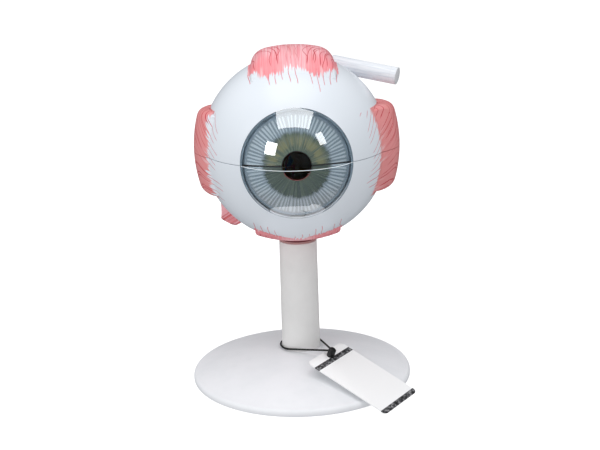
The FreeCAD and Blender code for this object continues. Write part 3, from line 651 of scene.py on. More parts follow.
def iris_outline():
    rim = sqrt(CHOROID ** 2 - IRIS_PLANE ** 2)
    seat = rim - IRIS_SEAT
    middle = sqrt(IRIS_DOME ** 2 - rim ** 2) - IRIS_PLANE - IRIS_WALL
    back = IRIS_DOME - IRIS_WALL
    back_arc = dome(back, middle, pi - asin(seat / back),
                    pi - asin(PUPIL / back), 24)
    front_arc = dome(IRIS_DOME, middle, pi - asin(PUPIL / IRIS_DOME),
                     pi - asin(rim / IRIS_DOME), 30)
    return [(rim, -IRIS_PLANE), (seat, -IRIS_PLANE)] + back_arc + front_arc


def lens_outline():
    front = -LENS_PLANE - LENS_EDGE / 2
    rear = -LENS_PLANE + LENS_EDGE / 2
    fore_radius = (LENS ** 2 + LENS_FRONT ** 2) / (2 * LENS_FRONT)
    rear_radius = (LENS ** 2 + LENS_REAR ** 2) / (2 * LENS_REAR)
    fore = dome(fore_radius, front - LENS_FRONT + fore_radius,
                pi, pi - asin(LENS / fore_radius), 30)
    aft = dome(rear_radius, rear + LENS_REAR - rear_radius, asin(LENS / rear_radius), 0, 30)
    return on_axis(fore + aft)


def vitreous_outlines():
    rim = sqrt(VITREOUS ** 2 - VITREOUS_FRONT ** 2)
    floor = -VITREOUS_FRONT + DISH_DEPTH
    sphere = (DISH ** 2 + DISH_DEPTH ** 2) / (2 * DISH_DEPTH)
    dish = dome(sphere, floor - sphere, asin(DISH / sphere), 0, 20)
    outer = dome(VITREOUS, 0, 0, pi - asin(rim / VITREOUS), 60) + dish
    inner_radius = VITREOUS - VITREOUS_WALL
    inner_floor = floor + VITREOUS_WALL
    inner = [(0.0, inner_floor)] + dome(inner_radius, 0, acos(inner_floor / inner_radius), 0)
    return on_axis(outer), on_axis(inner)


def nerve_outline():
    seated = GLOBE + SEAT_GAP
    foot = NERVE + NERVE_FLARE
    return (dome(seated, 0, 0, asin(foot / seated), 8)
            + [(NERVE, seated + NERVE_FLARE), (NERVE, SHEATH_END), (NERVE_CORE, SHEATH_END),
               (NERVE_CORE, CORE_END), (0.0, CORE_END)])


def base_outline():
    recess = SPIGOT
    return ([(recess, 0.0), (BASE - BASE_FOOT_ROUND, 0.0)]
            + bow((BASE - BASE_FOOT_ROUND, 0.0), (BASE, BASE_FOOT_ROUND), BASE_FOOT_ROUND, 6)[1:]
            + bow((BASE, BASE_EDGE - BASE_ROUND), (BASE - BASE_ROUND, BASE_EDGE), BASE_ROUND, 8)
            + bow((BASE - BASE_ROUND, BASE_EDGE), (POST_FOOT, HUB), BASE_DOME, 24)[1:]
            + [(SPIGOT + SEAT_GAP, HUB), (SPIGOT + SEAT_GAP, SPIGOT_FOOT),
               (SCREW_HOLE, SPIGOT_FOOT), (SCREW_HOLE, RECESS_DEPTH), (recess, RECESS_DEPTH)])


def post_outline():
    web = POST_TOP_HEIGHT - POST_WEB
    return [(POST_BORE, SPIGOT_FOOT), (SPIGOT, SPIGOT_FOOT), (SPIGOT, HUB), (POST_FOOT, HUB),
            (POST_TOP, POST_TOP_HEIGHT), (SCREW_HOLE, POST_TOP_HEIGHT), (SCREW_HOLE, web),
            (POST_BORE, web)]


# ---- finishes ----------------------------------------------------------------------------

def painted_eye(name, look, limits=True):
    """White sclera with the muscles painted on it: streaked pink, a ragged front edge and
    fine vessels that run on towards the cornea.

    limits keeps the pink to the muscles' width.
    """
    paint, x, y, z = new_paint(name)
    distance = far(x, y, z)
    polar = (-1.0 * y / distance).maths("ARCCOSINE") * degrees(1.0)
    wide, tall = x.bigness(), z.bigness()
    side = (wide - tall).rise(-0.5, 0.5)
    above, nasal = z.rise(-1.0, 1.0), x.rise(-1.0, 1.0)
    slant = side * (polar - 60) * (0.2 + z.rise(-24.0, 20.0) * 0.55)
    across = x + side * (z - x) - slant
    breadth = wide + side * (tall - wide)
    seed = above * 3 + side * (7 + nasal * 3 - above * 3)
    # The ragged front edge: two broad lobes on the top and the bottom, and a comb of teeth.
    corners = (wide - 16.5).higher(0.0) * (0.25 + above * 0.75)
    top_front = TOP_EDGE + e ** (-1.0 * (x / NOTCH) ** 4.0) * 2.6 + corners
    side_front = SIDE_EDGE - nasal * 4 + (z / 24) ** 2.0 * (5 - nasal * 2.5)
    broad = paint.noise(across / 8, polar / 60, seed, detail=1.0) - 0.5
    teeth = paint.noise(across / 1.1, polar / 16, seed + 20) - 0.5
    front = top_front + side * (side_front - top_front) + broad * 5 + teeth * 13
    flesh = (polar - front).rise(-0.7, 0.9)
    if limits:
        ragged = paint.grain(1 / 3) - 0.5
        reach = breadth + (polar - 95).higher(0.0) * 0.2 + ragged * 0.8
        flesh = flesh * reach.fall(FLESH_HALF - 0.2, FLESH_HALF + 0.2)
        flesh = flesh * polar.fall(FLESH_END - 0.4, FLESH_END + 0.4)
    outside = distance.rise(GLOBE - 1.0, GLOBE - 0.4)
    flesh = flesh * outside
    # Colour along the fibres: fine streaks, redder lobes, paler gaps near the front edge.
    fibres = paint.noise(across / 0.6, polar / 34, seed + 40, roughness=0.6)
    patches = paint.noise(across / 9, polar / 24, seed + 60)
    pale = paint.noise(across / 1.8, polar / 26, seed + 80, detail=1.0).rise(0.56, 0.68)
    lobes = (1 - side) * wide.rise(5.0, 12.0) * polar.fall(70.0, 82.0)
    side_pink = paint.layer(look.muscle_side, (fibres.rise(0.3, 0.7) * 0.45, look.muscle_deep))
    pink = paint.layer(
        look.muscle_deep, (fibres.rise(0.38, 0.62), look.muscle_pale), (side, side_pink),
        (lobes * 0.55, look.muscle_red), (patches.rise(0.5, 0.75) * 0.35, look.muscle_shade),
        (pale * (polar - front).fall(1.0, 10.0) * 0.6, look.muscle_gap))
    # Vessels: dark and hooked on the pink, thin and straight in front of it.
    spread = ((polar - 76) / 12).higher(0.0)
    hooked = across / (1 + spread * spread * 0.5)
    for number, spacing in enumerate((3.6, 5.1)):
        line, luck = paint.lines(hooked, polar, spacing, seed + 5 * number,
                                 wander=1.5 - side * 0.8, thickness=0.28)
        reach = (polar - 62 - luck * 8).rise(0.0, 3.0) * (polar - 76 - luck * 26).fall(0.0, 4.0)
        line = line * luck.rise(0.3, 0.34) * reach * (0.35 + breadth.rise(3.0, 8.0) * 0.65)
        pink = paint.layer(pink, (line * 0.85, look.vessel))
    hairs, luck = paint.lines(across, polar, 4.0, seed, wander=1.0, thickness=0.25)
    ends = (polar + 9.5 - front + luck * 7 - 3).rise(0.0, 1.5)
    hairs = hairs * ends * (polar - front).fall(1.0, 3.0) * luck.rise(0.12, 0.16) * outside
    if limits:
        hairs = hairs * (breadth + side * 2).fall(27.5, 28.5) * polar.fall(118, 121)
    tint = paint.grain(1 / 30, detail=1.0)
    # The boss under the globe: pale at its foot, and darkened by painted shade in a band where
    # it meets the globe.
    boss = far(x, y).fall(BOSS + 0.2, BOSS + 0.6) * (z + GLOBE).fall(0.2, 0.6)
    boss_colour_and_shade = paint.ramp((z + GLOBE + BOSS_DROP) / 3.6, (0.0, look.boss_pale),
                             (0.2, look.boss_pale), (0.3, look.boss_dark), (1.0, look.boss_dark))
    # The flat rim under the cornea: slate, with a dark outline, and below it a pale arc of
    # painted highlight.
    rim = polar.fall(RIM_EDGE - 0.04, RIM_EDGE + 0.04) * (0 - y).rise(40.0, 41.0)
    # arc is a painted highlight: the rim is lighter towards the bottom.
    arc = z.fall(-27.0, -8.0) * polar.fall(RIM_EDGE - 0.56, RIM_EDGE - 0.36)
    rim_colour = paint.layer(
        look.limbus_ring, (polar.rise(RIM_EDGE - 0.26, RIM_EDGE - 0.11), look.limbus),
        (arc * 0.8, look.limbus_arc))
    colour = paint.layer(
        look.sclera, (tint, look.sclera_shade), (hairs * 0.95, look.vessel_thin), (flesh, pink),
        (boss, boss_colour_and_shade), (rim, rim_colour))
    grain = paint.grain(0.9, detail=3.0)
    return paint.finish(
        colour, 0.34 + flesh * 0.16 + grain * 0.05, fibres * flesh * 0.6 + grain * 0.12, 0.0002,
        Specular_IOR_Level=0.5, Coat_Weight=0.15, Coat_Roughness=0.2)


def painted_oblique(look):
    """Flesh with darker stripes along the inferior oblique."""
    paint, x, y, z = new_paint("oblique_paint")
    along, across = towards(OBLIQUE_RUN, x, y, z), towards(OBLIQUE_SIDE, x, y, z)
    fibres = paint.noise(across / 0.9, along / 14, 2.0, detail=3.0)
    stripes = paint.noise(across / 2.4, along / 30, 6.0, detail=1.0)
    line, luck = paint.lines(across, along, 2.6, 4.0, wander=1.0, thickness=0.26)
    colour = paint.layer(
        look.muscle_deep, (fibres.rise(0.3, 0.7), look.muscle_pale),
        (stripes.rise(0.42, 0.58) * 0.85, look.muscle_stripe),
        (line * luck.rise(0.2, 0.3) * 0.7, look.vessel))
    return paint.finish(colour, 0.48 + fibres * 0.08, fibres, 0.0002)


def clear_plastic(name, colour, ior, haze=0.02, waves=0.0001, coat=0.0):
    """Clear cast plastic with faint smears and waves in its surface.  Only a part of its
    reflection is kept, and coat is the strength of a polished skin over it."""
    paint = Paint(name, MIDDLE)
    swell = paint.grain(0.08, detail=1.0)
    smears = paint.grain(0.25, detail=3.0)
    return paint.finish(
        colour, smears * haze, swell, waves, Transmission_Weight=1.0, IOR=ior,
        Specular_Tint=(0.2, 0.2, 0.2, 1.0), Coat_Weight=coat, Coat_Roughness=0.0, Coat_IOR=3.0)


def glowing_cut_plastic(look):
    """The sawn and frosted cut face of the clear cornea, which glows faintly as a painted
    highlight along the seam.
    """
    paint, x, y, z = new_paint("cornea_cut_face")
    saw = paint.noise(x * 4, y * 0.5, z * 4, detail=3.0)
    colour = paint.layer(look.cut_white, (saw, look.cut_shade))
    # The glow is a painted highlight of the seam, not a lamp.
    return paint.finish(colour, 0.55, saw, 0.0001, Emission_Color=colour, Emission_Strength=0.3)


def painted_iris(name, look, lower):
    """Radial strands: an olive inner zone, a slate outer zone with pale spokes and a plain rim.
    lower is 1.0 for the darker lower half and 0.0 for the upper one."""
    paint, x, _, z = new_paint(name)
    radius = far(x, z)
    angle = z.maths("ARCTAN2", x)
    turn_x, turn_z = angle.maths("COSINE"), angle.maths("SINE")
    fine = paint.noise(turn_x * 30, turn_z * 30, radius / 26)
    coarse = paint.noise(turn_x * 9, turn_z * 9, radius / 18)
    hair = paint.noise(turn_x * 80, turn_z * 80, radius / 20, detail=1.0)
    zone = radius + (coarse - 0.5) * 4 + (fine - 0.5) * 4
    # below marks the lower part of the iris, where a reflection is painted.
    below = z.fall(-24.0, -8.0)
    # Inner zone.
    ring = zone.rise(10.5, 13.0) * zone.fall(15.0, 18.5) * (1 - lower) * coarse.rise(0.3, 0.6)
    grey = hair.rise(0.54, 0.64) * zone.rise(9.0, 16.0) * 0.45
    inner = paint.layer(
        look.iris_inner_dark, (fine.rise(0.36, 0.62), look.iris_inner),
        (ring * 0.75, look.iris_inner_pale), (grey, look.iris_outer),
        (0.6 * lower, look.iris_inner_dark))
    # Outer zone, with a painted reflection that makes its lower part paler and its spokes
    # flatter.
    spokes = (angle * SPOKES + (coarse * 6 + fine * 3)).maths("SINE")
    spokes = (spokes * 0.5 + 0.5 + (hair - 0.5) * 0.9).rise(0.3, 0.8)
    spokes = spokes * (radius + (hair - 0.5) * 7).rise(18.8, 21.5)
    spokes = spokes * (radius + (fine - 0.5) * 2).fall(28.0, 29.2)
    strand = paint.layer(look.iris_strand, (below * 0.6, look.iris_strand_low))
    outer = paint.layer(look.iris_outer_dark, (below, look.iris_outer), (spokes * 0.9, strand))
    # The plain rim, the pupil's edge with a thin warm line below, and painted shade in a dark
    # line along the seam between the halves.
    edge = radius - PUPIL
    red = edge.fall(0.25, 0.5) * z.fall(-5.0, -3.0)
    colour = paint.layer(
        inner, (zone.rise(18.2, 20.2), outer), (radius.rise(28.8, 29.6), look.limbus_ring),
        (edge.fall(0.2, 0.9), look.pupil_edge), (red * 0.6, look.pupil_red),
        (z.bigness().fall(0.35, 0.6), look.pupil_edge))
    return paint.finish(colour, 0.5 + hair * 0.15, fine * 0.7 + hair * 0.3, 0.0003)


def painted_choroid(look):
    """Outside the choroid's dark net of vessels, inside the retina with its own."""
    paint, x, y, z = new_paint("choroid_paint")
    warp = paint.grain(1 / 9) * 9
    net = paint.network(x + warp, y + warp, z - warp, 0.11).fall(0.04, 0.12)
    small = paint.network(x - warp, y + warp, z, 0.26).fall(0.03, 0.09)
    ground = paint.grain(1 / 5, detail=3.0)
    outer = paint.layer(look.choroid, (ground, look.choroid_dark), (small * 0.6, look.vein),
                        (net * 0.9, look.artery))
    # The retina's vessels leave the optic disc.
    disc_x, disc_y = x - RETINA * sin(NERVE_TURN), y - RETINA * cos(NERVE_TURN)
    away = far(disc_x, disc_y, z)
    round_x, round_z = disc_x / (away + 1), z / (away + 1)

    def branches(scale, length, shift, low, high):
        field = paint.noise(round_x * scale, round_z * scale, away / length + shift, detail=2.5)
        return (field - 0.5).bigness().fall(low, high)

    inner = paint.layer(
        look.retina, (ground, look.retina_shade),
        (branches(2.3, 24, 9, 0.008, 0.02) * 0.85, look.vein),
        (branches(2.6, 26, 0, 0.006, 0.016) * 0.9, look.artery),
        (far(x, y - RETINA, z).fall(1.5, 4.5) * 0.7, look.macula),
        (away.fall(3.2, 3.9), look.disc))
    colour = paint.layer(
        inner, (far(x, y, z).rise(RETINA + 0.2, RETINA + 0.5), outer),
        ((0 - y).rise(IRIS_PLANE - 3, IRIS_PLANE - 2), look.limbus_ring))
    return paint.finish(colour, 0.4 + ground * 0.1, ground + net * 0.5, 0.0003)


def painted_ciliary(look):
    """Dark folds with paler crests."""
    paint = Paint("ciliary_paint", MIDDLE)
    ground = paint.grain(1 / 2, detail=3.0)
    colour = paint.layer(look.ciliary, (ground, look.ciliary_dark),
                         (paint.y.rise(-37.0, -32.0) * 0.35, look.ciliary_crest))
    return paint.finish(colour, 0.45 + ground * 0.15, ground, 0.0003)


def painted_nerve(look):
    """Cream sheath with long streaks, and on its end the bundles and two vessels."""
    paint, x, y, z = new_paint("nerve_paint")
    along = x * sin(NERVE_TURN) + y * cos(NERVE_TURN)
    out = x * cos(NERVE_TURN) - y * sin(NERVE_TURN)
    streaks = paint.noise(out / 1.2, z / 1.2, along / 12, detail=3.0)
    bundles = paint.network(out, z, 0.0, 0.75).fall(0.06, 0.16)
    core = paint.layer(
        look.nerve_core, (bundles * 0.7, look.nerve_shade),
        (far(out - 0.9, z).fall(0.8, 1.0), look.artery),
        (far(out + 1.1, z).fall(0.9, 1.1), look.vein))
    inside = far(out, z).fall(NERVE_CORE, NERVE_CORE + 0.3) * along.rise(GLOBE, GLOBE + 9)
    colour = paint.layer(look.nerve, (streaks.rise(0.3, 0.7), look.nerve_shade), (inside, core))
    return paint.finish(colour, 0.42 + streaks * 0.1, streaks, 0.0002)


def white_tendon(look):
    """Bright white plastic with faint fibres along the tendon, a ring and a duller sawn end."""
    paint, x, y, z = new_paint("tendon_paint")
    flat = Vector((-TENDON_RUN.y, TENDON_RUN.x, 0)).normalized()
    along, level = towards(TENDON_RUN, x, y, z), towards(flat, x, y, z)
    rise = towards(TENDON_RUN.cross(flat), x, y, z)
    fibres = paint.noise(along / 16, level / 0.9, rise / 0.9, detail=3.0)
    colour = paint.layer(
        look.tendon, (fibres.rise(0.35, 0.7) * 0.6, look.tendon_shade),
        ((along - TENDON_END + 4.0).bigness().fall(0.2, 0.5) * 0.35, look.tendon_end),
        (along.rise(TENDON_END - 0.35, TENDON_END - 0.15), look.tendon_end))
    return paint.finish(colour, 0.36 + fibres * 0.08, fibres, 0.00025)


def white_plastic(name, colour, shade, roughness):
    """Moulded white plastic with a fine grain and slight handling marks."""
    paint = Paint(name)
    marks = paint.grain(1 / 22, detail=4.0, roughness=0.6)
    grain = paint.grain(2.4)
    tint = paint.layer(colour, (marks.rise(0.3, 0.8), shade))
    return paint.finish(tint, roughness + marks * 0.12, grain, 0.00006)


def turned_metal(name, colour, dark, roughness):
    """Machined metal with fine rings and darker spots."""
    paint = Paint(name)
    rings = paint.noise(far(paint.x, paint.y) * 6, paint.z * 6, 0.0)
    spots = paint.grain(1 / 2, detail=3.0)
    tint = paint.layer(colour, (spots.rise(0.4, 0.8), dark))
    return paint.finish(tint, roughness + rings * 0.12, rings, 0.00005, Metallic=0.6)


def card_directions():
    """The ways down the card and across it."""
    level = Vector((cos(CARD_HEADING), sin(CARD_HEADING), 0))
    fall = level * cos(CARD_SLOPE) - Z_AXIS * sin(CARD_SLOPE)
    normal = level * sin(CARD_SLOPE) + Z_AXIS * cos(CARD_SLOPE)
    return fall, normal.cross(fall)


def blank_card(look):
    """White card with a mottled dark band near each short end."""
    low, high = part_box("tag_card")
    paint, x, y, z = new_paint("card_finish", (Vector(low) + Vector(high)) / 2)
    along, across = (towards(way, x, y, z) for way in card_directions())
    rear = (along - REAR_BAND).bigness().fall(1.7, 1.95)
    bands = rear.higher(along.rise(FORE_BAND, FORE_BAND + 0.25))
    mottle = paint.noise(along / 2.2, across / 2.8, 3.0, detail=3.0, roughness=0.6)
    band = paint.ramp(mottle, (0.40, look.band_dark), (0.52, look.band_middle),
                      (0.62, look.band_pale))
    fibre = paint.noise(along / 0.5, across / 0.5, 5.0, detail=3.0)
    colour = paint.layer(look.card, (fibre * 0.5, look.card_shade), (bands, band))
    return paint.finish(colour, 0.4 + fibre * 0.1, fibre, 0.00004)


def black_plastic(look):
    """Black moulded plastic with a grain."""
    paint = Paint("lock_finish")
    grain = paint.grain(3.0)
    tint = paint.layer(look.black, (grain, look.black_worn))
    return paint.finish(tint, 0.35 + grain * 0.15, grain, 0.00008)


def cord_finish(look):
    """Waxed black cord: strands that wind round it, in the cord's own map."""
    paint = Paint("loop_finish")
    run, turn = paint.split(paint.node("ShaderNodeTexCoord", output="UV"))[:2]
    strand = (run * LOOP_TWIST + turn * (2 * tau)).maths("SINE") * 0.5 + 0.5
    fuzz = paint.grain(5.0)
    tint = paint.layer(look.black, (strand * 0.5 + fuzz * 0.3, look.cord_fuzz))
    return paint.finish(tint, 0.5 + fuzz * 0.2, strand, 0.00012)


def floor_finish(look, glow):
    """The pale studio floor."""
    paint = Paint("floor_pale")
    grain = paint.grain(0.02)
    tint = paint.layer(look.floor, (grain, look.floor_pale))
    return paint.finish(tint, 0.9, Specular_IOR_Level=0.1, Emission_Color=(1.0, 1.0, 1.0, 1.0),
                        Emission_Strength=glow)


# ---- settings ----------------------------------------------------------------------------

# Each colour's description and what it is at first.
COLOURS = {
    "sclera": ("White of the eye", srgb(232, 237, 243)),
    "sclera_shade": ("Cooler patches of the white", srgb(226, 233, 240)),
    "muscle_pale": ("Pale fibres", srgb(250, 196, 201)),
    "muscle_deep": ("Deep fibres", srgb(242, 148, 157)),
    "muscle_shade": ("Darker patches", srgb(218, 124, 122)),
    "muscle_side": ("Flesh of the side muscles", srgb(232, 150, 147)),
    "muscle_red": ("Redder lobes at the front edge", srgb(248, 124, 132)),
    "muscle_gap": ("Whitish gaps between fibres", srgb(246, 214, 217)),
    "muscle_stripe": ("Stripes of the oblique muscle", srgb(226, 92, 92)),
    "vessel": ("Dark vessels on the muscles", srgb(200, 52, 66)),
    "vessel_thin": ("Thin vessels on the white", srgb(216, 88, 104)),
    # The boss's dark upper band is painted shade under the globe.
    "boss_dark": ("Upper band of the boss", srgb(122, 44, 50)),
    "boss_pale": ("Lower band of the boss", srgb(202, 158, 156)),
    # The cut face's white is also its glow, a painted highlight along the seam.
    "cut_white": ("Frosted cut face of the cornea", srgb(240, 244, 248)),
    "cut_shade": ("Saw marks on the cut face", srgb(205, 215, 222)),
    "iris_inner": ("Olive strands", srgb(106, 120, 102)),
    "iris_inner_dark": ("Between the olive strands", srgb(62, 77, 75)),
    "iris_inner_pale": ("Paler ring of the inner zone", srgb(128, 128, 90)),
    "iris_outer": ("Slate strands", srgb(134, 143, 149)),
    "iris_outer_dark": ("Between the slate strands", srgb(120, 138, 150)),
    "iris_strand": ("Pale spokes", srgb(180, 196, 206)),
    # The lower spokes' colour is a painted reflection.
    "iris_strand_low": ("Pale spokes of the lower part", srgb(173, 179, 184)),
    "limbus": ("Dark outline of the cornea", srgb(88, 102, 112)),
    "limbus_ring": ("Plain ring round the iris", srgb(128, 148, 163)),
    # The pale arc is a painted highlight on the lower rim.
    "limbus_arc": ("Pale arc below the iris", srgb(214, 220, 226)),
    # The pupil's dark edge also paints shade along the iris seam.
    "pupil_edge": ("Dark edge of the pupil", srgb(30, 34, 36)),
    "pupil_red": ("Thin warm line under the pupil", srgb(170, 80, 76)),
    "choroid": ("Outside of the choroid", srgb(132, 52, 44)),
    "choroid_dark": ("Darker patches", srgb(96, 34, 34)),
    "retina": ("Inside of the choroid", srgb(214, 122, 74)),
    "retina_shade": ("Darker patches", srgb(198, 100, 58)),
    "macula": ("Spot of sharpest sight", srgb(168, 64, 44)),
    "disc": ("Where the nerve enters", srgb(244, 214, 150)),
    "artery": ("Red vessels", srgb(196, 36, 40)),
    "vein": ("Blue vessels", srgb(62, 78, 140)),
    "ciliary": ("Folds", srgb(92, 62, 48)),
    "ciliary_dark": ("Grooves", srgb(58, 38, 32)),
    "ciliary_crest": ("Crests", srgb(148, 112, 88)),
    "nerve": ("Sheath", srgb(240, 226, 188)),
    "nerve_shade": ("Streaks", srgb(222, 200, 150)),
    "nerve_core": ("Bundles", srgb(246, 232, 170)),
    "tendon": ("Tendon", srgb(240, 243, 247)),
    "tendon_shade": ("Fibres", srgb(208, 216, 226)),
    "tendon_end": ("Sawn end", srgb(224, 226, 229)),
    # The lens's blue-grey tint is partly its own and partly painted shade that darkens the
    # pupil.
    "lens": ("Clear lens", (0.74, 0.81, 0.88, 1.0)),
    "clear": ("Clear cornea and vitreous", (0.99, 0.995, 1.0, 1.0)),
    "base": ("Base", srgb(243, 244, 247)),
    "base_shade": ("Handling marks", srgb(236, 238, 241)),
    "post": ("Post", srgb(236, 235, 233)),
    "post_shade": ("Handling marks", srgb(228, 227, 225)),
    "steel": ("Screw, washer and pegs", srgb(176, 178, 182)),
    "steel_dark": ("Dark spots of the steel", srgb(120, 122, 128)),
    "brass": ("Insert", srgb(206, 172, 98)),
    "brass_dark": ("Dark spots of the brass", srgb(150, 118, 60)),
    "card": ("Card", srgb(255, 255, 255)),
    "card_shade": ("Fibres", srgb(247, 248, 249)),
    "band_dark": ("Dark of the card's bands", srgb(30, 30, 32)),
    "band_middle": ("Grey of the card's bands", srgb(84, 85, 88)),
    "band_pale": ("Pale flecks of the bands", srgb(150, 150, 152)),
    "black": ("Lock and cord", srgb(12, 12, 13)),
    "black_worn": ("Worn patches of the lock", srgb(44, 44, 46)),
    "cord_fuzz": ("Fuzz of the cord", srgb(58, 57, 58)),
    "floor": ("Studio floor", (0.93, 0.93, 0.93, 1.0)),
    "floor_pale": ("Paler patches of the floor", (0.95, 0.95, 0.95, 1.0)),
    "room": ("Room light", (0.97, 0.98, 1.0, 1.0)),
}


class EyeColours(bpy.types.PropertyGroup):
    """Colours of the model's finishes"""
    __annotations__ = {
        name: bpy.props.FloatVectorProperty(
            name=name.replace("_", " ").capitalize(), description=description, default=default,
            size=4, min=0.0, max=1.0, subtype="COLOR")
        for name, (description, default) in COLOURS.items()}


class EyeSizes(bpy.types.PropertyGroup):
    """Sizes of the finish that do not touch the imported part"""
    edge: bpy.props.FloatProperty(
        name="Edge softness", description="Rounding of the mouldings' sharp edges",
        default=EDGE_SOFTNESS * MM, min=0.00005, max=0.0005, unit="LENGTH")
    loop: bpy.props.FloatProperty(
        name="Loop thickness", description="Diameter of the tag's cord",
        default=LOOP * MM, min=0.001, max=0.0014, unit="LENGTH")


def strength(name, description, default):
    return bpy.props.FloatProperty(name=name, description=description, default=default, min=0.0)


class EyeStudio(bpy.types.PropertyGroup):
    """Light of the studio"""
    world: strength("Room light", "Even light from all round", 0.68)
    ceiling: strength("Overhead light", "Power of the big overhead softbox, in watts", 3.5)
    left: strength("Left light", "Power of the small softbox on the left, in watts", 1.6)
    right: strength("Right light", "Power of the small softbox on the right, in watts", 0.5)
    floor: strength("Floor glow", "Light of the floor itself", 0.5)


# ---- operators ---------------------------------------------------------------------------

def add_boss(piece, centre):
    """Grow the boss under the lower sclera and bore it for the threaded insert."""
    foot, root = GLOBE + BOSS_DROP, GLOBE - SCLERA_WALL / 2
    outline = [(INSERT_BORE, -foot), (BOSS, -foot), (BOSS, -root), (INSERT_BORE, -root)]
    combine(piece, turned("boss", outline, centre), "UNION")
    bore = round_bar(0, 0, centre.z - (foot - INSERT_TOP / 2) * MM, INSERT_BORE,
                     INSERT_TOP + 0.2)
    combine(piece, bore, "DIFFERENCE")


class EYE_OT_sclera(bpy.types.Operator):
    """Model both halves of the sclera and paint the muscles' insertions on them"""
    bl_idname = "eye_model.sclera"
    bl_label = "Sclera"

    def execute(self, context):
        scene = context.scene
        paint = painted_eye("sclera_paint", scene.eye_colours)
        ring = (GLOBE - SCLERA_WALL / 2) * MM
        places = [(sx * ring * sin(PEG_TURN), sy * ring * cos(PEG_TURN))
                  for sx in (-1, 1) for sy in (-1, 1)]
        for half, label, body, piece in turned_halves(HALVES, "sclera_shell", sclera_outline()):
            centre = half_centre(half)
            radius, depth = PEG_HOLES[half]
            height = centre.z + half * (depth - CUTTER_PAST) / 2 * MM
            holes = [round_bar(x, y, height, radius, depth + CUTTER_PAST) for x, y in places]
            combine(piece, join(holes), "DIFFERENCE")
            if half < 0:
                add_boss(piece, centre)
            soften_edges(piece, scene.eye_sizes.edge)
            dress(piece, paint, body, "sclera_white", label + "_sclera")
        return {"FINISHED"}


class EYE_OT_cornea(bpy.types.Operator):
    """Model both halves of the clear cornea, the lower one with a frosted cut face that glows as
    a painted highlight
    """
    bl_idname = "eye_model.cornea"
    bl_label = "Cornea"

    def execute(self, context):
        look = context.scene.eye_colours
        polished = {"ior": 1.2, "haze": 0.002, "waves": 0.000003}
        clear = clear_plastic("cornea_clear_cast", look.clear, coat=1.0, **polished)
        inside = clear_plastic("cornea_inside", look.clear, **polished)
        # The frosted cut face glows as a painted highlight.
        frosted = glowing_cut_plastic(look)
        for half, label, body, piece in turned_halves(HALVES, "cornea_shell", cornea_outline()):
            dress(piece, clear, body, "cornea_clear", label + "_cornea")
            piece.data.materials.append(frosted)
            piece.data.materials.append(inside)
            centre = half_centre(half)
            middle = centre + Y_AXIS * CORNEA_MIDDLE * MM
            for face in piece.data.polygons:
                if abs(face.center.z - centre.z) < FLAT:
                    face.material_index = 1 if half < 0 else 2
                elif (face.center - middle).length < (CORNEA - CORNEA_SKIN) * MM:
                    face.material_index = 2
            piece.visible_shadow = False
        return {"FINISHED"}


class EYE_OT_iris(bpy.types.Operator):
    """Model both halves of the domed iris"""
    bl_idname = "eye_model.iris"
    bl_label = "Iris"

    def execute(self, context):
        look = context.scene.eye_colours
        for half, label, body, piece in turned_halves(INNER_HALVES, "iris_disc",
                                                      iris_outline()):
            paint = painted_iris(label + "_iris_paint", look, 0.0 if half > 0 else 1.0)
            dress(piece, paint, body, "iris_paint", label + "_iris")
        return {"FINISHED"}


class EYE_OT_choroid(bpy.types.Operator):
    """Model both halves of the choroid, lined by the retina"""
    bl_idname = "eye_model.choroid"
    bl_label = "Choroid and retina"

    def execute(self, context):
        scene = context.scene
        paint = painted_choroid(scene.eye_colours)
        for _, label, body, piece in turned_halves(INNER_HALVES, "choroid_shell",
                                                   choroid_outline()):
            soften_edges(piece, scene.eye_sizes.edge)
            dress(piece, paint, body, "choroid_retina", label + "_choroid")
        return {"FINISHED"}


class EYE_OT_ciliary(bpy.types.Operator):
    """Smooth and paint both halves of the ciliary ring"""
    bl_idname = "eye_model.ciliary"
    bl_label = "Ciliary ring"

    def execute(self, context):
        paint = painted_ciliary(context.scene.eye_colours)
        for _, label, body in INNER_HALVES:
            piece = copied(label + "_ciliary_body", label + "_ciliary_folds")
            dress(piece, paint, body, "ciliary_brown", label + "_ciliary_body")
        return {"FINISHED"}


class EYE_OT_lens(bpy.types.Operator):
    """Model the clear lens"""
    bl_idname = "eye_model.lens"
    bl_label = "Lens"

    def execute(self, context):
        # The lens's tint darkens the pupil behind it as painted shade.
        paint = clear_plastic("lens_clear_cast", context.scene.eye_colours.lens, 1.4)
        piece = turned("lens_cast", lens_outline(), half_centre(0), Y_AXIS)
        dress(piece, paint, "lens", "lens_clear", "lens")
        return {"FINISHED"}


class EYE_OT_vitreous(bpy.types.Operator):
    """Model the hollow clear vitreous body"""
    bl_idname = "eye_model.vitreous"
    bl_label = "Vitreous body"

    def execute(self, context):
        outer, inner = vitreous_outlines()
        hollow = turned("hollow", inner, half_centre(0), Y_AXIS)
        set_mode("EDIT")
        select_mesh()
        bpy.ops.mesh.flip_normals()
        set_mode("OBJECT")
        piece = join([turned("vitreous_cast", outer, half_centre(0), Y_AXIS), hollow])
        paint = clear_plastic("vitreous_clear_cast", context.scene.eye_colours.clear, 1.3)
        dress(piece, paint, "vitreous", "vitreous_clear", "vitreous_body")
        return {"FINISHED"}


class EYE_OT_muscles(bpy.types.Operator):
    """Smooth and paint the straight muscles and the inferior oblique"""
    bl_idname = "eye_model.muscles"
    bl_label = "Muscles"

    def execute(self, context):
        look = context.scene.eye_colours
        paint = painted_eye("muscle_paint", look, limits=False)
        for half, body, node, across in STRAPS:
            piece = copied(node, node + "_strap")
            settle(piece, half_centre(half), across)
            dress(piece, paint, body, "muscle_red", node)
        piece = copied("inferior_oblique", "inferior_oblique_strap")
        dress(piece, painted_oblique(look), "stand", "muscle_red", "inferior_oblique")
        return {"FINISHED"}


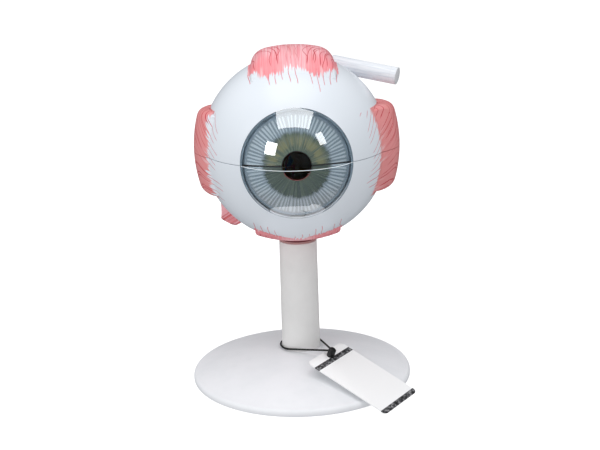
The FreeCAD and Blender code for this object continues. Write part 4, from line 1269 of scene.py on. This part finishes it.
class EYE_OT_tendon(bpy.types.Operator):
    """Smooth and paint the round tendon of the superior oblique"""
    bl_idname = "eye_model.tendon"
    bl_label = "Tendon"

    def execute(self, context):
        scene = context.scene
        piece = copied("superior_oblique", "superior_oblique_tendon")
        soften_edges(piece, scene.eye_sizes.edge * 1.5)
        dress(piece, white_tendon(scene.eye_colours), "upper_globe", "tendon_white",
              "superior_oblique")
        return {"FINISHED"}


class EYE_OT_nerve(bpy.types.Operator):
    """Model both halves of the optic nerve"""
    bl_idname = "eye_model.nerve"
    bl_label = "Optic nerve"

    def execute(self, context):
        scene = context.scene
        paint = painted_nerve(scene.eye_colours)
        turn = Matrix.Rotation(-NERVE_TURN, 3, "Z")
        for _, label, body, piece in turned_halves(HALVES, "optic_nerve", nerve_outline(),
                                                   turn @ Y_AXIS, turn @ X_AXIS):
            soften_edges(piece, scene.eye_sizes.edge)
            dress(piece, paint, body, "nerve_cream", "optic_nerve_" + label)
        return {"FINISHED"}


class EYE_OT_stand(bpy.types.Operator):
    """Model the post and the base"""
    bl_idname = "eye_model.stand"
    bl_label = "Stand"

    def execute(self, context):
        look, edge = context.scene.eye_colours, context.scene.eye_sizes.edge
        foot = Vector((0, 0, 0))
        piece = turned("stand_post_column", post_outline(), foot)
        soften_edges(piece, edge * 1.5)
        paint = white_plastic("post_plastic", look.post, look.post_shade, 0.38)
        dress(piece, paint, "stand", "stand_white", "stand_post")
        piece = turned("stand_base_plate", base_outline(), foot)
        soften_edges(piece, edge)
        paint = white_plastic("base_plastic", look.base, look.base_shade, 0.42)
        dress(piece, paint, "stand", "stand_white", "stand_base")
        return {"FINISHED"}


class EYE_OT_fasteners(bpy.types.Operator):
    """Finish the screw, the washer, the insert and the locating pegs"""
    bl_idname = "eye_model.fasteners"
    bl_label = "Fasteners"

    def execute(self, context):
        look = context.scene.eye_colours
        steel, brass = (look.steel, look.steel_dark), (look.brass, look.brass_dark)
        for node, name, colours, roughness in (
                ("stand_screw", "screw_steel_finish", steel, 0.3),
                ("stand_washer", "washer_steel_finish", steel, 0.36),
                ("locating_pegs", "peg_steel_finish", steel, 0.26),
                ("threaded_insert", "insert_brass_finish", brass, 0.32)):
            repaint(node, turned_metal(name, *colours, roughness))
        return {"FINISHED"}


class EYE_OT_tag(bpy.types.Operator):
    """Finish the blank tag and its lock"""
    bl_idname = "eye_model.tag"
    bl_label = "Tag"

    def execute(self, context):
        look = context.scene.eye_colours
        dress(copied("tag_card", "tag_card_sheet"), blank_card(look), "stand", "card_white",
              "tag_card")
        dress(copied("tag_lock", "tag_lock_barrel"), black_plastic(look), "stand", "lock_black",
              "tag_lock")
        return {"FINISHED"}


class EYE_OT_loop(bpy.types.Operator):
    """Lay the tag's loop of cord round the post's foot"""
    bl_idname = "eye_model.loop"
    bl_label = "Loop of cord"

    def execute(self, context):
        scene = context.scene
        deselect_all()
        curve = bpy.data.curves.new("tag_loop_cord", "CURVE")
        curve.dimensions = "3D"
        curve.bevel_depth = scene.eye_sizes.loop / 2
        curve.bevel_resolution = 6
        curve.resolution_u = 16
        curve.use_fill_caps = True
        spline = curve.splines.new("NURBS")
        spline.points.add(len(LOOP_ROUTE) - 1)
        for point, place in zip(spline.points, LOOP_ROUTE):
            point.co = (*place, 1.0)
        spline.order_u = 3
        spline.use_endpoint_u = True
        piece = bpy.data.objects.new("tag_loop_cord", curve)
        scene.collection.objects.link(piece)
        dress(piece, cord_finish(scene.eye_colours), "stand", "cord_black", "tag_loop")
        return {"FINISHED"}


def soft_box(name, place, width, height, power):
    """A soft area light that faces the globe."""
    light = bpy.data.lights.new(name, "AREA")
    light.shape = "RECTANGLE"
    light.size = width
    light.size_y = height
    light.energy = power
    lamp = bpy.data.objects.new(name, light)
    bpy.context.scene.collection.objects.link(lamp)
    lamp.location = place
    lamp.rotation_euler = (LIGHT_AIM - lamp.location).to_track_quat("-Z", "Y").to_euler()
    lamp.visible_camera = False


def set_camera(scene):
    """The camera: a long lens in front, a little above and to the temple side."""
    ahead = Vector((sin(CAMERA_YAW) * cos(CAMERA_PITCH), cos(CAMERA_YAW) * cos(CAMERA_PITCH),
                    -sin(CAMERA_PITCH)))
    right = Vector((cos(CAMERA_YAW), -sin(CAMERA_YAW), 0))
    above = right.cross(ahead)
    tilted_right = right * cos(CAMERA_ROLL) + above * sin(CAMERA_ROLL)
    tilted_above = above * cos(CAMERA_ROLL) - right * sin(CAMERA_ROLL)
    data = bpy.data.cameras.new("studio_camera")
    data.sensor_width = SENSOR_WIDTH
    data.lens = CAMERA_LENS
    data.dof.use_dof = False
    camera = bpy.data.objects.new("studio_camera", data)
    scene.collection.objects.link(camera)
    camera.matrix_world = Matrix.Translation(CAMERA_PLACE) @ Matrix(
        (tilted_right, tilted_above, -ahead)).transposed().to_4x4()
    scene.camera = camera


class EYE_OT_stage(bpy.types.Operator):
    """Set the floor, the lights and the camera"""
    bl_idname = "eye_model.stage"
    bl_label = "Stage"

    def execute(self, context):
        scene = context.scene
        studio, look = scene.eye_studio, scene.eye_colours
        deselect_all()
        bpy.ops.mesh.primitive_plane_add(size=FLOOR_WIDTH, location=(0, 0, 0))
        floor = context.object
        floor.name = floor.data.name = "studio_floor"
        floor.data.materials.append(floor_finish(look, studio.floor))
        floor.visible_diffuse = False
        floor.visible_glossy = False
        world = bpy.data.worlds.new("studio_room")
        world.use_nodes = True
        back = world.node_tree.nodes["Background"]
        back.inputs["Color"].default_value = look.room
        back.inputs["Strength"].default_value = studio.world
        world.cycles_visibility.glossy = False
        scene.world = world
        for name, (place, width, height, setting) in LIGHTS.items():
            soft_box(name, place, width, height, getattr(studio, setting))
        set_camera(scene)
        scene.view_settings.view_transform = "Standard"
        return {"FINISHED"}


MAKERS = (EYE_OT_stage, EYE_OT_stand, EYE_OT_fasteners, EYE_OT_tag, EYE_OT_loop, EYE_OT_sclera,
          EYE_OT_cornea, EYE_OT_choroid, EYE_OT_iris, EYE_OT_ciliary, EYE_OT_lens,
          EYE_OT_vitreous, EYE_OT_muscles, EYE_OT_tendon, EYE_OT_nerve)


class EYE_PT_panel(bpy.types.Panel):
    """Lists the pieces of the eye model"""
    bl_idname = "EYE_PT_panel"
    bl_label = "Eye model"
    bl_space_type = "VIEW_3D"
    bl_region_type = "UI"
    bl_category = "Eye model"

    def draw(self, context):
        for group in (context.scene.eye_sizes, context.scene.eye_studio):
            box = self.layout.box()
            for name in group.__annotations__:
                box.prop(group, name)
        colours = self.layout.box()
        for name in context.scene.eye_colours.__annotations__:
            colours.prop(context.scene.eye_colours, name)
        for maker in MAKERS:
            self.layout.operator(maker.bl_idname)


CLASSES = (EyeColours, EyeSizes, EyeStudio, *MAKERS, EYE_PT_panel)


def register():
    for item in CLASSES:
        bpy.utils.register_class(item)
    bpy.types.Scene.eye_colours = bpy.props.PointerProperty(type=EyeColours)
    bpy.types.Scene.eye_sizes = bpy.props.PointerProperty(type=EyeSizes)
    bpy.types.Scene.eye_studio = bpy.props.PointerProperty(type=EyeStudio)


def unregister():
    for name in ("eye_colours", "eye_sizes", "eye_studio"):
        delattr(bpy.types.Scene, name)
    for item in reversed(CLASSES):
        bpy.utils.unregister_class(item)


def main():
    register()
    for maker in MAKERS:
        group, name = maker.bl_idname.split(".")
        getattr(getattr(bpy.ops, group), name)()


if __name__ == "__main__":
    main()
